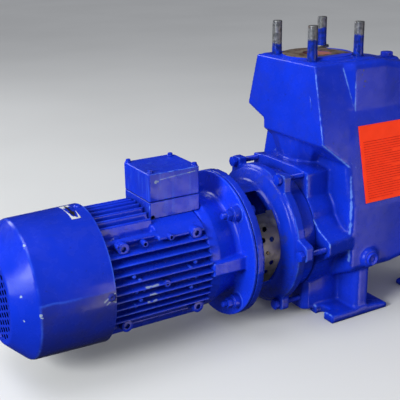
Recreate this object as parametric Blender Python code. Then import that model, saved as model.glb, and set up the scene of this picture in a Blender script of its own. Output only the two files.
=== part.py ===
"""Self-priming centrifugal pump, close-coupled to a flange-mounted electric motor.

Units are metres, +Z is up and +X runs along the shaft from the motor to the suction end.
Every piece is drawn in the shaft frame, where the shaft axis is the X axis and x = 0 is the
motor-side face of the motor flange. One empty then lifts that frame on its feet.
"""
import math

import bmesh
import bpy
from mathutils import Matrix, Vector

GAP = 0.0003
TAU = 2 * math.pi

# Motor, along the shaft
COWL_END_X = -0.3783
COWL_CREASE_X = -0.3451
COWL_RIM_X = -0.2314
FRAME_START_X = -0.2357
FRAME_END_X = -0.0620
FLANGE_THICKNESS = 0.0055

# Motor, across the shaft
COWL_RIM_RADIUS = 0.1102
COWL_CREASE_RADIUS = 0.1077
COWL_END_RADIUS = 0.0754
COWL_WALL = 0.0020
GRILLE_RADIUS = 0.0680
FRAME_CORE_RADIUS = 0.0860
FIN_RADIUS = 0.1030
FIN_COUNT = 9
FIN_PITCH = 0.0130
FIN_WIDTH = 0.0034
FIN_ROOT_WIDTH = 0.0070
SHIELD_RADIUS = 0.0965
SHIELD_NECK_RADIUS = 0.0845
FLANGE_RADIUS = 0.1250
FLANGE_BOLT_CIRCLE_RADIUS = 0.1075
BOLT_RADIUS = 0.0050
HEX_RADIUS = 0.0095
FLANGE_BOLT_END_X = -0.0310
FLANGE_NUT_RADIUS = 0.0092
FLANGE_COLLAR_RADIUS = 0.0120
SHIELD_TAPER_START_X = -0.0450
SHIELD_TAPER_END_X = -0.0200
SHIELD_TAPER_RADIUS = 0.0880
SIDE_LUG_LOW_Y = 0.0700
SIDE_LUG_HIGH_Y = 0.1025
SIDE_LUG_HALF_HEIGHT = 0.0115
BOSS_RADIUS = 0.0095
BOSS_FACE_Y = 0.0800
BOSS_PLACES = ((-0.2050, 0.0620), (-0.0805, 0.0620), (-0.2050, -0.0632), (-0.0805, -0.0632))
FRAME_CORNER = (0.0680, 0.0735)

# Terminal box and the saddle under it
BOX_LOW_X = -0.1404
BOX_HIGH_X = -0.0501
BOX_HALF_WIDTH = 0.0434
BOX_FLOOR_Z = 0.0828
BOX_SEAM_Z = 0.1100
BOX_TOP_Z = 0.1553
BOX_CORNER = 0.0030
BOX_FAR_CORNER = 0.0120
SADDLE_LOW_X = -0.1444
SADDLE_LIP_Y = 0.0800
SADDLE_LIP_HIGH_Z = 0.0655
SADDLE_LIP_LOW_Z = 0.0600
SADDLE_BEND = (0.0600, 0.0770)
SADDLE_TOP_Y = 0.0440
PLUG_X = -0.0950
PLUG_Z = 0.0975
PLUG_BOLT_RADIUS = 0.0100
PLUG_HEAD_RADIUS = 0.0135

# Lantern bracket between the flanges
ADAPTER_BACK_X = 0.0062
ADAPTER_FRONT_X = 0.0190
NECK_RADIUS = 0.0950
NECK_INNER_RADIUS = 0.0850
NECK_END_X = 0.0700
EAR_PLATE_BACK_X = 0.0880
EAR_PLATE_FRONT_X = 0.1040
EAR_PLATE_RADIUS = 0.1225
EAR_CORNER = 0.0035
EAR_INNER_Y = 0.0540
EAR_OUTER_Y = 0.0785
UPPER_EAR_Z = 0.1225
LOWER_EAR_Z = -0.1195
SIDE_EAR_Y = 0.1410
SIDE_EAR_HIGH_Z = 0.0190
SIDE_EAR_LOW_Z = -0.0075
BRACKET_BOLTS = (
    (0.1320, 0.0020),
    (0.0660, 0.1143),
    (-0.0660, 0.1143),
    (-0.1320, 0.0020),
    (-0.0660, -0.1100),
    (0.0660, -0.1100),
)
WINDOW_LOW_Z = -0.0560
WINDOW_HIGH_Z = 0.0890
GUARD_THICKNESS = 0.0015
GUARD_LOW_DEGREES = -33.0
GUARD_STEP_DEGREES = 41.3
GUARD_HIGH_DEGREES = 43.9
GUARD_STEP_X = 0.0580
GUARD_HOLE_RADIUS = 0.0045
SHAFT_RADIUS = 0.0160
SEAL_PLATE_RADIUS = 0.1080

# Pump casing
CASING_BACK_X = 0.1350
WALL_X = 0.1850
BODY_END_X = 0.4550
TOWER_FRONT_X = 0.1420
DECK_Z = 0.2970
PAD_Z = 0.2995
PORT_FACE_Z = 0.3027
TOWER_HALF_WIDTH = 0.0805
TOWER_FLARE = 0.2180
TOWER_FAR_FLARE = 0.3000
BODY_WAIST_Z = 0.2210
BODY_HIP_Z = 0.0600
BODY_HIP_HALF_WIDTH = 0.1340
BODY_TOP_HALF_WIDTH = 0.0950
BODY_WAIST_HALF_WIDTH = 0.0980
BELLY_Z = -0.0920
HIP_LOW_Z = -0.0440
FACET_START_X = 0.1980
FACET_END_X = 0.2155
HOUSING_RADIUS = 0.1110
HOUSING_DRAFT_ACROSS = 0.940
HOUSING_DRAFT_UP = 0.985
SHAFT_HEIGHT = 0.1400
FOOT_HALF_SPAN = 0.1320
FOOT_WIDTH = 0.0660
FOOT_TIP_X = 0.1570
FOOT_TOE_X = 0.2810
FOOT_THICKNESS = 0.0145
TOE_THICKNESS = 0.0095
SLOT_Y = 0.0965
SLOT_HALF_WIDTH = 0.0105
SLOT_END_X = 0.1720
LEG_BACK_X = 0.2080
LEG_FRONT_X = 0.2360
LEG_CORNER = 0.0090
LEG_TOP_Z = -0.0250
WEB_LOW_Z = -0.1300
FEET_CENTRE_X = 0.3220
REAR_LEG_REACH = 0.1290
FRONT_LEG_REACH = 0.1180

# Ports: discharge on top, suction at the far end, both for a 2.5 inch (DN 65) flange
DISCHARGE_BORE_RADIUS = 0.0250
SUCTION_BORE_RADIUS = 0.0325
DISCHARGE_X = 0.2105
RAISED_FACE_RADIUS = 0.0595
STUD_PITCH = 0.0974
STUD_RADIUS = 0.0085
STUD_TOP_Z = 0.3562
SUCTION_Z = 0.1600
SUCTION_FACE_X = 0.4820
SUCTION_FLANGE_THICKNESS = 0.0180
SUCTION_FLANGE_RADIUS = 0.0800
SUCTION_NECK_RADIUS = 0.0560
SUCTION_STUD_LENGTH = 0.0420
COVER_RADIUS = 0.0550
COVER_THICKNESS = 0.0120
COVER_Z = 0.0080
FILL_PLUG_X = 0.3700
FILL_BOSS_TOP_Z = 0.2820
DRAIN_X = 0.2285
DRAIN_Z = -0.0310
DRAIN_FACE_Y = -0.1420
DRAIN_BOSS_RADIUS = 0.0165

GRILLE_BACK_X = COWL_END_X + COWL_WALL + GAP
MID_X = (COWL_END_X + SUCTION_FACE_X + SUCTION_STUD_LENGTH) / 2

BLUE = (0.010, 0.030, 0.520)
STEEL = (0.45, 0.44, 0.42)
ORANGE = (0.86, 0.08, 0.02)
BLACK_PLASTIC = (0.02, 0.02, 0.02)

COLOURS = {
    "cast_blue": (BLUE, 0.28, 0.1),
    "motor_blue": (BLUE, 0.28, 0.1),
    "bare_steel": (STEEL, 0.42, 0.9),
    "label_orange": (ORANGE, 0.5, 0.0),
    "fan_plastic": (BLACK_PLASTIC, 0.6, 0.0),
}


def clear_scene():
    for thing in list(bpy.data.objects):
        bpy.data.objects.remove(thing)


def add_frame():
    frame = bpy.data.objects.new("shaft_frame", None)
    frame.location = (-MID_X, 0.0, SHAFT_HEIGHT)
    bpy.context.collection.objects.link(frame)
    return frame


def material_for(name, slot):
    colour, roughness, metallic = COLOURS[slot]
    material = bpy.data.materials.new(name + "_material")
    material.use_nodes = True
    surface = material.node_tree.nodes["Principled BSDF"]
    surface.inputs["Base Color"].default_value = (*colour, 1.0)
    surface.inputs["Roughness"].default_value = roughness
    surface.inputs["Metallic"].default_value = metallic
    return material


def add_piece(name, points, faces, slot="cast_blue"):
    """One closed mesh in the shaft frame, with its faces turned outwards."""
    mesh = bpy.data.meshes.new(name)
    mesh.from_pydata([tuple(p) for p in points], [], faces)
    shape = bmesh.new()
    shape.from_mesh(mesh)
    bmesh.ops.remove_doubles(shape, verts=shape.verts, dist=1e-6)
    bmesh.ops.recalc_face_normals(shape, faces=shape.faces)
    shape.to_mesh(mesh)
    shape.free()
    mesh.shade_smooth()
    mesh.set_sharp_from_angle(angle=math.radians(30))
    mesh.materials.append(material_for(name, slot))
    piece = bpy.data.objects.new(name, mesh)
    bpy.context.collection.objects.link(piece)
    piece.parent = FRAME
    return piece


def combine(target, other, operation):
    """Joins a helper to a piece, or cuts it away; the helper itself stays hidden."""
    other.hide_render = True
    other.display_type = "WIRE"
    modifier = target.modifiers.new(other.name, "BOOLEAN")
    modifier.object = other
    modifier.operation = operation
    modifier.solver = "EXACT"


def join(target, *others):
    for other in others:
        combine(target, other, "UNION")


def cut(target, *others):
    for other in others:
        combine(target, other, "DIFFERENCE")


def loft(name, rings, slot="cast_blue"):
    """A closed solid through rings that all have the same number of points."""
    count = len(rings[0])
    points = [p for ring in rings for p in ring]
    faces = []
    for r in range(len(rings) - 1):
        low = r * count
        high = low + count
        for i in range(count):
            j = (i + 1) % count
            faces.append((low + i, low + j, high + j, high + i))
    faces.append(tuple(range(count)))
    faces.append(tuple(range(len(points) - count, len(points))))
    return add_piece(name, points, faces, slot)


def extrude_x(name, outline, low_x, high_x, slot="cast_blue"):
    """An outline of (y, z) points carried along X."""
    return loft(name, [[(x, y, z) for y, z in outline] for x in (low_x, high_x)], slot)


def extrude_y(name, outline, low_y, high_y, slot="cast_blue"):
    """An outline of (x, z) points carried along Y."""
    return loft(name, [[(x, y, z) for x, z in outline] for y in (low_y, high_y)], slot)


def box(name, low, high, slot="cast_blue"):
    outline = [(low[1], low[2]), (high[1], low[2]), (high[1], high[2]), (low[1], high[2])]
    return extrude_x(name, outline, low[0], high[0], slot)


def circle(radius, segments):
    return [
        (radius * math.cos(TAU * i / segments), radius * math.sin(TAU * i / segments))
        for i in range(segments)
    ]


def turned(name, profile, segments, slot="cast_blue"):
    """A closed profile of (x, radius) points turned about the shaft axis."""
    count = len(profile)
    points = []
    for i in range(segments):
        angle = TAU * i / segments
        points += [(x, r * math.cos(angle), r * math.sin(angle)) for x, r in profile]
    faces = []
    for i in range(segments):
        here = i * count
        there = ((i + 1) % segments) * count
        for k in range(count):
            m = (k + 1) % count
            if profile[k][1] == 0.0 and profile[m][1] == 0.0:
                continue
            corners = [here + k, here + m, there + m, there + k]
            if profile[m][1] == 0.0:
                corners = [here + k, here + m, there + k]
            elif profile[k][1] == 0.0:
                corners = [here + k, here + m, there + m]
            faces.append(tuple(corners))
    return add_piece(name, points, faces, slot)


def stack(name, steps, base, axis, slot):
    """Discs and hexagons one on another along an axis: (height, radius, sides) each."""
    turn = Vector((0, 0, 1)).rotation_difference(Vector(axis)).to_matrix().to_4x4()
    place = Matrix.Translation(base) @ turn
    segments = 12
    rings = []
    for height, radius, sides in steps:
        ring = []
        for i in range(segments):
            angle = TAU * i / segments
            reach = radius
            if sides == 6 and i % 2:
                reach = radius * math.cos(math.pi / 6)
            ring.append(place @ Vector((reach * math.cos(angle), reach * math.sin(angle), height)))
        rings.append(ring)
    return loft(name, rings, slot)


def rod(name, radius, base, axis, length, slot="cast_blue", segments=12):
    """A plain round bar from its base along an axis."""
    turn = Vector((0, 0, 1)).rotation_difference(Vector(axis)).to_matrix().to_4x4()
    place = Matrix.Translation(base) @ turn
    rings = [
        [place @ Vector((y, z, height)) for y, z in circle(radius, segments)]
        for height in (0.0, length)
    ]
    return loft(name, rings, slot)


def on_circle(radius, degrees):
    angle = math.radians(degrees)
    return radius * math.cos(angle), radius * math.sin(angle)


# Fan end of the motor


def make_fan_cowl():
    inner_end = COWL_END_X + COWL_WALL
    profile = [
        (COWL_RIM_X, COWL_RIM_RADIUS),
        (COWL_CREASE_X, COWL_CREASE_RADIUS),
        (COWL_END_X, COWL_END_RADIUS),
        (COWL_END_X, GRILLE_RADIUS - 0.004),
        (inner_end, GRILLE_RADIUS - 0.004),
        (inner_end, COWL_END_RADIUS - COWL_WALL / 2),
        (COWL_CREASE_X + COWL_WALL / 2, COWL_CREASE_RADIUS - COWL_WALL),
        (COWL_RIM_X, COWL_RIM_RADIUS - COWL_WALL),
    ]
    turned("fan_cowl", profile, 48, "motor_blue")


def make_fan_grille():
    profile = [
        (GRILLE_BACK_X, 0.0),
        (GRILLE_BACK_X, GRILLE_RADIUS),
        (GRILLE_BACK_X + COWL_WALL, GRILLE_RADIUS),
        (GRILLE_BACK_X + COWL_WALL, 0.0),
    ]
    turned("fan_grille", profile, 36, "motor_blue")


def make_fan():
    blades = 8
    hub_radius = 0.0300
    tip_radius = 0.0900
    half_thickness = 0.0020
    outline = []
    for i in range(blades):
        angle = TAU * i / blades
        along = Vector((math.cos(angle), math.sin(angle)))
        side = Vector((-along.y, along.x)) * half_thickness
        outline += [
            along * hub_radius - side,
            along * tip_radius - side,
            along * tip_radius + side,
            along * hub_radius + side,
        ]
    fan = extrude_x("cooling_fan", [tuple(p) for p in outline], -0.3350, -0.2900, "fan_plastic")
    cut(fan, rod("fan_bore", 0.0113, (-0.34, 0, 0), (1, 0, 0), 0.06, segments=16))


def make_fan_shaft():
    rod("fan_shaft", 0.0110, (-0.3420, 0, 0), (1, 0, 0), 0.0917, "bare_steel", 16)


def make_rear_end_shield():
    rim = COWL_RIM_RADIUS - COWL_WALL - 0.0006
    profile = [
        (-0.2500, 0.0),
        (-0.2500, 0.0400),
        (-0.2440, rim - 0.0080),
        (-0.2440, rim),
        (-0.2360, rim),
        (-0.2360, 0.0),
    ]
    turned("rear_end_shield", profile, 48, "motor_blue")


# Finned motor frame


def fin_row():
    """Points of the fins on one side, as (across, outward) pairs from low to high."""
    points = []
    for i in range(FIN_COUNT):
        centre = (i - (FIN_COUNT - 1) / 2) * FIN_PITCH
        low = centre - FIN_ROOT_WIDTH / 2
        high = centre + FIN_ROOT_WIDTH / 2
        tip = math.sqrt(FIN_RADIUS ** 2 - centre ** 2)
        points += [
            (low, math.sqrt(FRAME_CORE_RADIUS ** 2 - low ** 2)),
            (centre - FIN_WIDTH / 2, tip),
            (centre + FIN_WIDTH / 2, tip),
            (high, math.sqrt(FRAME_CORE_RADIUS ** 2 - high ** 2)),
        ]
    return points


def frame_outline():
    outline = []
    corner = FRAME_CORNER
    for quarter in range(4):
        angle = quarter * math.pi / 2
        turn = Matrix.Rotation(angle, 2)
        row = [Vector((outward, across)) for across, outward in fin_row()]
        row.append(Vector((corner[1], corner[0])))
        row.append(Vector((corner[0], corner[1])))
        outline += [tuple(turn @ p) for p in row]
    return outline


def make_motor_frame():
    """The finned tube with its saddle: flat under the terminal box, sloping to a lip over the fins."""
    frame = extrude_x("motor_frame", frame_outline(), FRAME_START_X, FRAME_END_X, "motor_blue")
    slope = [(SADDLE_TOP_Y, BOX_FLOOR_Z - GAP), SADDLE_BEND, (SADDLE_LIP_Y, SADDLE_LIP_HIGH_Z)]
    near_slope = [(-y, z) for y, z in slope]
    sink = 0.0010
    clear_z = 0.1200
    above = [(y, z - sink) for y, z in near_slope[::-1] + slope]
    above += [(SADDLE_LIP_Y, clear_z), (-SADDLE_LIP_Y, clear_z)]
    cut(frame, extrude_x("saddle_room", above, BOX_LOW_X - 0.0025, 0.0))
    under = [(SADDLE_LIP_Y, SADDLE_LIP_LOW_Z), (SADDLE_BEND[0], SADDLE_LIP_LOW_Z)]
    saddle = near_slope[::-1] + slope + under + [(0.0, 0.0400)] + [(-y, z) for y, z in reversed(under)]
    join(frame, extrude_x("saddle", saddle, SADDLE_LOW_X, FRAME_END_X - 0.0010))
    for i, (x, z) in enumerate(BOSS_PLACES):
        join(frame, rod(f"boss_{i}", BOSS_RADIUS, (x, -BOSS_FACE_Y, z), (0, 1, 0), 2 * BOSS_FACE_Y))


def make_drive_end_shield():
    """The shield narrows from the frame to a neck, which the flange stands on."""
    profile = [
        (FRAME_END_X + GAP, 0.0),
        (FRAME_END_X + GAP, SHIELD_RADIUS),
        (SHIELD_TAPER_START_X, SHIELD_RADIUS),
        (SHIELD_TAPER_END_X, SHIELD_TAPER_RADIUS),
        (-0.0080, SHIELD_NECK_RADIUS),
        (-0.0030, SHIELD_NECK_RADIUS + 0.0015),
        (0.0, SHIELD_NECK_RADIUS + 0.0055),
        (0.0, FLANGE_RADIUS),
        (FLANGE_THICKNESS, FLANGE_RADIUS),
        (FLANGE_THICKNESS, 0.0),
    ]
    shield = turned("drive_end_shield", profile, 64, "motor_blue")
    cut(shield, box("box_notch", (-0.08, -0.06, BOX_FLOOR_Z - GAP), (BOX_HIGH_X + 0.001, 0.06, 0.2)))
    for i in range(4):
        y, z = on_circle(FLANGE_BOLT_CIRCLE_RADIUS, 45 + 90 * i)
        cut(shield, rod(f"flange_hole_{i}", BOLT_RADIUS + GAP, (-0.01, y, z), (1, 0, 0), 0.03))
    for side in (-1, 1):
        ends = sorted((side * SIDE_LUG_LOW_Y, side * SIDE_LUG_HIGH_Y))
        low = (FRAME_END_X + 0.0010, ends[0], -SIDE_LUG_HALF_HEIGHT)
        join(shield, box(f"side_lug_{side}", low, (0.0020, ends[1], SIDE_LUG_HALF_HEIGHT)))


def make_terminal_box():
    def shell(name, low_z, high_z):
        low = (BOX_LOW_X, -BOX_HALF_WIDTH, low_z)
        piece = box(name, low, (BOX_HIGH_X, BOX_HALF_WIDTH, high_z), "motor_blue")
        round_upright_edges(piece)
        return piece

    base = shell("terminal_box_base", BOX_FLOOR_Z, BOX_SEAM_Z - GAP)
    cut(base, rod("gland_hole", PLUG_BOLT_RADIUS + GAP, (PLUG_X, 0.03, PLUG_Z), (0, 1, 0), 0.03,
                  segments=16))
    shell("terminal_box_lid", BOX_SEAM_Z, BOX_TOP_Z)
    depth = 0.0131
    steps = ((0.0, PLUG_BOLT_RADIUS, 0), (depth, PLUG_BOLT_RADIUS, 0),
             (depth, PLUG_HEAD_RADIUS, 6), (depth + 0.0069, PLUG_HEAD_RADIUS, 6))
    base_place = (PLUG_X, BOX_HALF_WIDTH + GAP - depth, PLUG_Z)
    stack("cable_entry_plug", steps, base_place, (0, 1, 0), "fan_plastic")


def round_upright_edges(piece):
    """Rounds the box's corners, the one beside the flange on the far side much more."""
    shape = bmesh.new()
    shape.from_mesh(piece.data)
    upright = [e for e in shape.edges if abs((e.verts[0].co - e.verts[1].co).normalized().z) > 0.99]
    far = [e for e in upright if e.verts[0].co.x > PLUG_X and e.verts[0].co.y > 0.0]
    others = [e for e in upright if e not in far]
    bmesh.ops.bevel(shape, geom=far, offset=BOX_FAR_CORNER, segments=5, affect="EDGES", profile=0.5)
    others = [e for e in others if e.is_valid]
    bmesh.ops.bevel(shape, geom=others, offset=BOX_CORNER, segments=2, affect="EDGES", profile=0.5)
    shape.to_mesh(piece.data)
    shape.free()


def make_flange_bolts():
    """A bolt with its end, nut and collar on the motor side and its head on the bracket side."""
    nut = 0.0080
    collar = 0.0170
    seat = -GAP - FLANGE_BOLT_END_X
    head = ADAPTER_FRONT_X + GAP - FLANGE_BOLT_END_X
    steps = (
        (0.0, BOLT_RADIUS, 0),
        (nut, BOLT_RADIUS, 0),
        (nut, FLANGE_NUT_RADIUS, 6),
        (collar, FLANGE_NUT_RADIUS, 6),
        (collar, FLANGE_COLLAR_RADIUS, 0),
        (seat, FLANGE_COLLAR_RADIUS, 0),
        (seat, BOLT_RADIUS, 0),
        (head, BOLT_RADIUS, 0),
        (head, HEX_RADIUS, 6),
        (head + 0.0090, HEX_RADIUS, 6),
    )
    for i in range(4):
        y, z = on_circle(FLANGE_BOLT_CIRCLE_RADIUS, 45 + 90 * i)
        stack(f"flange_bolt_{i + 1}", steps, (FLANGE_BOLT_END_X, y, z), (1, 0, 0), "motor_blue")


# Lantern bracket


def eared_outline():
    """The plate seen along the shaft: a disc with an upper, a side and a lower ear on each side."""
    def rim(y):
        return math.sqrt(EAR_PLATE_RADIUS ** 2 - y ** 2)

    def arc(first, last, steps):
        swing = (last - first) / steps
        return [on_circle(EAR_PLATE_RADIUS, first + swing * k) for k in range(1, steps)]

    shoulder = math.degrees(math.atan2(rim(EAR_OUTER_Y), EAR_OUTER_Y))
    side_top = 11.5
    side_low = -4.0
    far = arc(90, 64, 5)
    far += [(EAR_INNER_Y, rim(EAR_INNER_Y)), (EAR_INNER_Y, UPPER_EAR_Z),
            (EAR_OUTER_Y - EAR_CORNER, UPPER_EAR_Z), (EAR_OUTER_Y, UPPER_EAR_Z - EAR_CORNER),
            (EAR_OUTER_Y, rim(EAR_OUTER_Y))]
    far += arc(shoulder, side_top, 5)
    far += [on_circle(EAR_PLATE_RADIUS, side_top), (SIDE_EAR_Y - EAR_CORNER, SIDE_EAR_HIGH_Z),
            (SIDE_EAR_Y, SIDE_EAR_HIGH_Z - EAR_CORNER), (SIDE_EAR_Y, SIDE_EAR_LOW_Z + EAR_CORNER / 2),
            (SIDE_EAR_Y - EAR_CORNER / 2, SIDE_EAR_LOW_Z), on_circle(EAR_PLATE_RADIUS, side_low)]
    far += arc(side_low, -shoulder, 5)
    far += [(EAR_OUTER_Y, -rim(EAR_OUTER_Y)), (EAR_OUTER_Y, LOWER_EAR_Z + EAR_CORNER),
            (EAR_OUTER_Y - EAR_CORNER, LOWER_EAR_Z), (EAR_INNER_Y, LOWER_EAR_Z),
            (EAR_INNER_Y, -rim(EAR_INNER_Y))]
    far += arc(-64, -90, 5)
    return far + [(-y, z) for y, z in reversed(far)]


def make_adapter_bracket():
    profile = [
        (ADAPTER_BACK_X, NECK_INNER_RADIUS + 0.0020),
        (ADAPTER_BACK_X, FLANGE_RADIUS),
        (ADAPTER_FRONT_X, FLANGE_RADIUS),
        (ADAPTER_FRONT_X, NECK_RADIUS + 0.0030),
        (ADAPTER_FRONT_X + 0.0040, NECK_RADIUS),
        (NECK_END_X, NECK_RADIUS),
        (NECK_END_X + 0.0040, NECK_RADIUS + 0.0030),
        (NECK_END_X + 0.0130, 0.1160),
        (EAR_PLATE_BACK_X + 0.0010, 0.1200),
        (EAR_PLATE_FRONT_X - 0.0010, 0.1200),
        (EAR_PLATE_FRONT_X - 0.0010, SHAFT_RADIUS + 0.0140),
        (0.0920, SHAFT_RADIUS + 0.0140),
        (0.0840, 0.0800),
        (NECK_END_X, NECK_INNER_RADIUS),
    ]
    bracket = turned("adapter_bracket", profile, 64)
    plate = extrude_x("ear_plate", eared_outline(), EAR_PLATE_BACK_X, EAR_PLATE_FRONT_X)
    cut(plate, rod("plate_bore", 0.1000, (0.08, 0, 0), (1, 0, 0), 0.04, segments=24))
    join(bracket, plate)
    cut(bracket, box("window", (ADAPTER_FRONT_X + 0.008, -0.2, WINDOW_LOW_Z),
                     (NECK_END_X - 0.002, 0.2, WINDOW_HIGH_Z)))
    for i in range(4):
        y, z = on_circle(FLANGE_BOLT_CIRCLE_RADIUS, 45 + 90 * i)
        cut(bracket, rod(f"adapter_hole_{i}", BOLT_RADIUS + GAP, (0.0, y, z), (1, 0, 0), 0.03))
    for i, (y, z) in enumerate(BRACKET_BOLTS):
        cut(bracket, rod(f"ear_hole_{i}", BOLT_RADIUS + GAP, (0.08, y, z), (1, 0, 0), 0.04))


def make_guards():
    """Bent perforated strips over the two side windows of the bracket."""
    inner = NECK_RADIUS + GAP
    outer = inner + GUARD_THICKNESS
    holes = ((0.0446, 26.7), (0.0545, 15.7), (0.0380, 16.4), (0.0528, -8.5), (0.0437, -18.5))
    step_z = outer * math.sin(math.radians(GUARD_STEP_DEGREES))
    steps = 14
    for name, side in (("guard_near", -1), ("guard_far", 1)):
        outline = []
        for radius, order in ((outer, range(steps + 1)), (inner, range(steps, -1, -1))):
            for k in order:
                degrees = GUARD_LOW_DEGREES + (GUARD_HIGH_DEGREES - GUARD_LOW_DEGREES) * k / steps
                y, z = on_circle(radius, degrees)
                outline.append((side * y, z))
        guard = extrude_x(name, outline, ADAPTER_FRONT_X + 0.0045, NECK_END_X - GAP, "bare_steel")
        ends = sorted((side * 0.0500, side * 0.1200))
        cut(guard, box(f"{name}_step", (0.0100, ends[0], step_z), (GUARD_STEP_X, ends[1], 0.0900)))
        corner = ((0.0705, -0.0060), (0.0645, -0.0290), (0.0570, -0.0560), (0.0800, -0.0560),
                  (0.0800, -0.0060))
        cut(guard, extrude_y(f"{name}_corner", corner, ends[0], ends[1]))
        for k, (x, degrees) in enumerate(holes):
            y, z = on_circle(NECK_RADIUS, degrees)
            cut(guard, rod(f"{name}_hole_{k}", GUARD_HOLE_RADIUS, (x, side * (y - 0.01), z), (0, side, 0),
                           0.03, segments=10))


def make_pump_shaft():
    steps = (
        (0.0, 0.0250, 0),
        (0.0500, 0.0250, 0),
        (0.0500, SHAFT_RADIUS, 0),
        (CASING_BACK_X - FLANGE_THICKNESS - 0.0310, SHAFT_RADIUS, 0),
    )
    stack("pump_shaft", steps, (FLANGE_THICKNESS + GAP, 0, 0), (1, 0, 0), "bare_steel")


def make_seal_plate():
    profile = [
        (EAR_PLATE_FRONT_X + GAP, 0.0),
        (EAR_PLATE_FRONT_X + GAP, SEAL_PLATE_RADIUS),
        (CASING_BACK_X - GAP, SEAL_PLATE_RADIUS),
        (CASING_BACK_X - GAP, 0.0),
    ]
    turned("seal_plate", profile, 48)


def make_bracket_bolts():
    head = 0.0080
    start = EAR_PLATE_BACK_X - GAP - head
    for i, (y, z) in enumerate(BRACKET_BOLTS):
        steps = (
            (0.0, HEX_RADIUS, 6),
            (head, HEX_RADIUS, 6),
            (head, BOLT_RADIUS, 0),
            (CASING_BACK_X - GAP - start, BOLT_RADIUS, 0),
        )
        stack(f"bracket_bolt_{i + 1}", steps, (start, y, z), (1, 0, 0), "cast_blue")


# Pump casing


def flared(z, half_width):
    return half_width + TOWER_FLARE * (DECK_Z - z)


def body_section(x, top_z, half_widths, hip_low_z, belly_z, inset):
    """One cross-section of the priming chamber: flat deck, flared sides, slanted underside."""
    corner = 0.0100
    flat = 0.0500
    top = half_widths[0] - inset
    hip = BODY_HIP_HALF_WIDTH - inset
    side = [
        (top - corner, top_z),
        (top - corner * 0.3, top_z - corner * 0.3),
        (top, top_z - corner),
        (half_widths[1] - inset, min(BODY_WAIST_Z, top_z - 2 * corner)),
        (hip, BODY_HIP_Z),
        (hip, hip_low_z + inset),
        (hip - 0.0035, hip_low_z + inset - 0.0065),
        (flat + corner, belly_z + inset + corner * 0.5),
        (flat - corner, belly_z + inset),
    ]
    ring = [(x, y, z) for y, z in side]
    ring += [(x, -y, z) for y, z in reversed(side)]
    return ring


def make_body():
    """The chamber; behind the tower it is a little narrower than the tower's own sides."""
    narrow = (flared(0.2870, TOWER_HALF_WIDTH) - 0.0006, flared(BODY_WAIST_Z, TOWER_HALF_WIDTH) - 0.0006)
    full = (BODY_TOP_HALF_WIDTH, BODY_WAIST_HALF_WIDTH)
    stations = (
        (WALL_X, 0.2900, narrow, HIP_LOW_Z, BELLY_Z, 0.0080),
        (WALL_X + 0.0030, 0.2950, narrow, HIP_LOW_Z, BELLY_Z, 0.0025),
        (WALL_X + 0.0090, DECK_Z, narrow, HIP_LOW_Z, BELLY_Z, 0.0),
        (FACET_START_X, DECK_Z, narrow, HIP_LOW_Z, BELLY_Z, 0.0),
        (FACET_END_X, DECK_Z, full, HIP_LOW_Z, BELLY_Z, 0.0),
        (0.2800, DECK_Z, full, HIP_LOW_Z, BELLY_Z, 0.0),
        (0.3700, 0.2790, full, -0.0300, -0.0775, 0.0),
        (0.4040, 0.2735, full, -0.0260, -0.0715, 0.0),
        (0.4300, 0.2620, full, -0.0280, -0.0680, 0.0040),
        (0.4450, 0.2500, full, -0.0300, -0.0700, 0.0120),
        (BODY_END_X, 0.2350, full, -0.0320, -0.0720, 0.0240),
    )
    return loft("pump_casing", [body_section(*s) for s in stations])


def make_tower():
    """The discharge tower; its far side is cut back where the near side joins the chamber."""
    bevel = 0.0050
    far_z = 0.2055

    def section(x, near_z, far_low, far_low_z, far_flare):
        return [
            (x, -TOWER_HALF_WIDTH, DECK_Z),
            (x, -flared(near_z + bevel, TOWER_HALF_WIDTH), near_z + bevel),
            (x, bevel - flared(near_z, TOWER_HALF_WIDTH), near_z),
            (x, far_low, near_z),
            (x, far_low, far_low_z),
            (x, TOWER_HALF_WIDTH + far_flare * (DECK_Z - far_z), far_z),
            (x, TOWER_HALF_WIDTH, DECK_Z),
        ]

    return loft("tower", [section(TOWER_FRONT_X, 0.1700, 0.0580, 0.1865, TOWER_FAR_FLARE),
                          section(0.2050, 0.1170, 0.0700, 0.1800, TOWER_FLARE)])


def make_throat():
    """The rounded root of the discharge passage: wide under the tower, narrow on the housing."""
    wide = ((0.1990, 0.0560), (0.1700, 0.0560), (0.1500, 0.0530), (0.1460, 0.0300), (0.1460, -0.0400),
            (0.1500, -0.0780), (0.1700, -0.0860), (0.1990, -0.0860))
    narrow = ((0.1990, 0.0780), (0.1800, 0.0740), (0.1640, 0.0400), (0.1530, 0.0020), (0.1600, -0.0180),
              (0.1760, -0.0300), (0.1870, -0.0340), (0.1990, -0.0340))
    return loft("throat", [[(x, y, z) for x, y in plan] for plan, z in ((wide, 0.1740), (narrow, 0.1150))])


def lug_side():
    """The near half of the volute housing's outline, from the top round to the bottom."""
    def arc(first, last):
        return [on_circle(HOUSING_RADIUS, first + (last - first) * k / 4) for k in range(5)]

    half = [(-0.0400, 0.1240), (-0.0790, 0.1200)]
    half += arc(136, 149)
    half += [(-0.0985, 0.0440), (-0.1154, 0.0287), (-0.1410, 0.0170), (-0.1430, 0.0145), (-0.1430, -0.0060),
             (-0.1090, -0.0300)]
    return half + arc(200, 234) + arc(238, 268)


def make_volute_housing():
    """A drum round the impeller with its upper and side lugs, which the bracket is bolted to."""
    near = lug_side()
    outline = near + [(-y, z) for y, z in reversed(near)]
    front = [(CASING_BACK_X, y, z) for y, z in outline]
    root = [(WALL_X + 0.0070, y * HOUSING_DRAFT_ACROSS, z * HOUSING_DRAFT_UP) for y, z in outline]
    return loft("volute_housing", [front, root])


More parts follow.
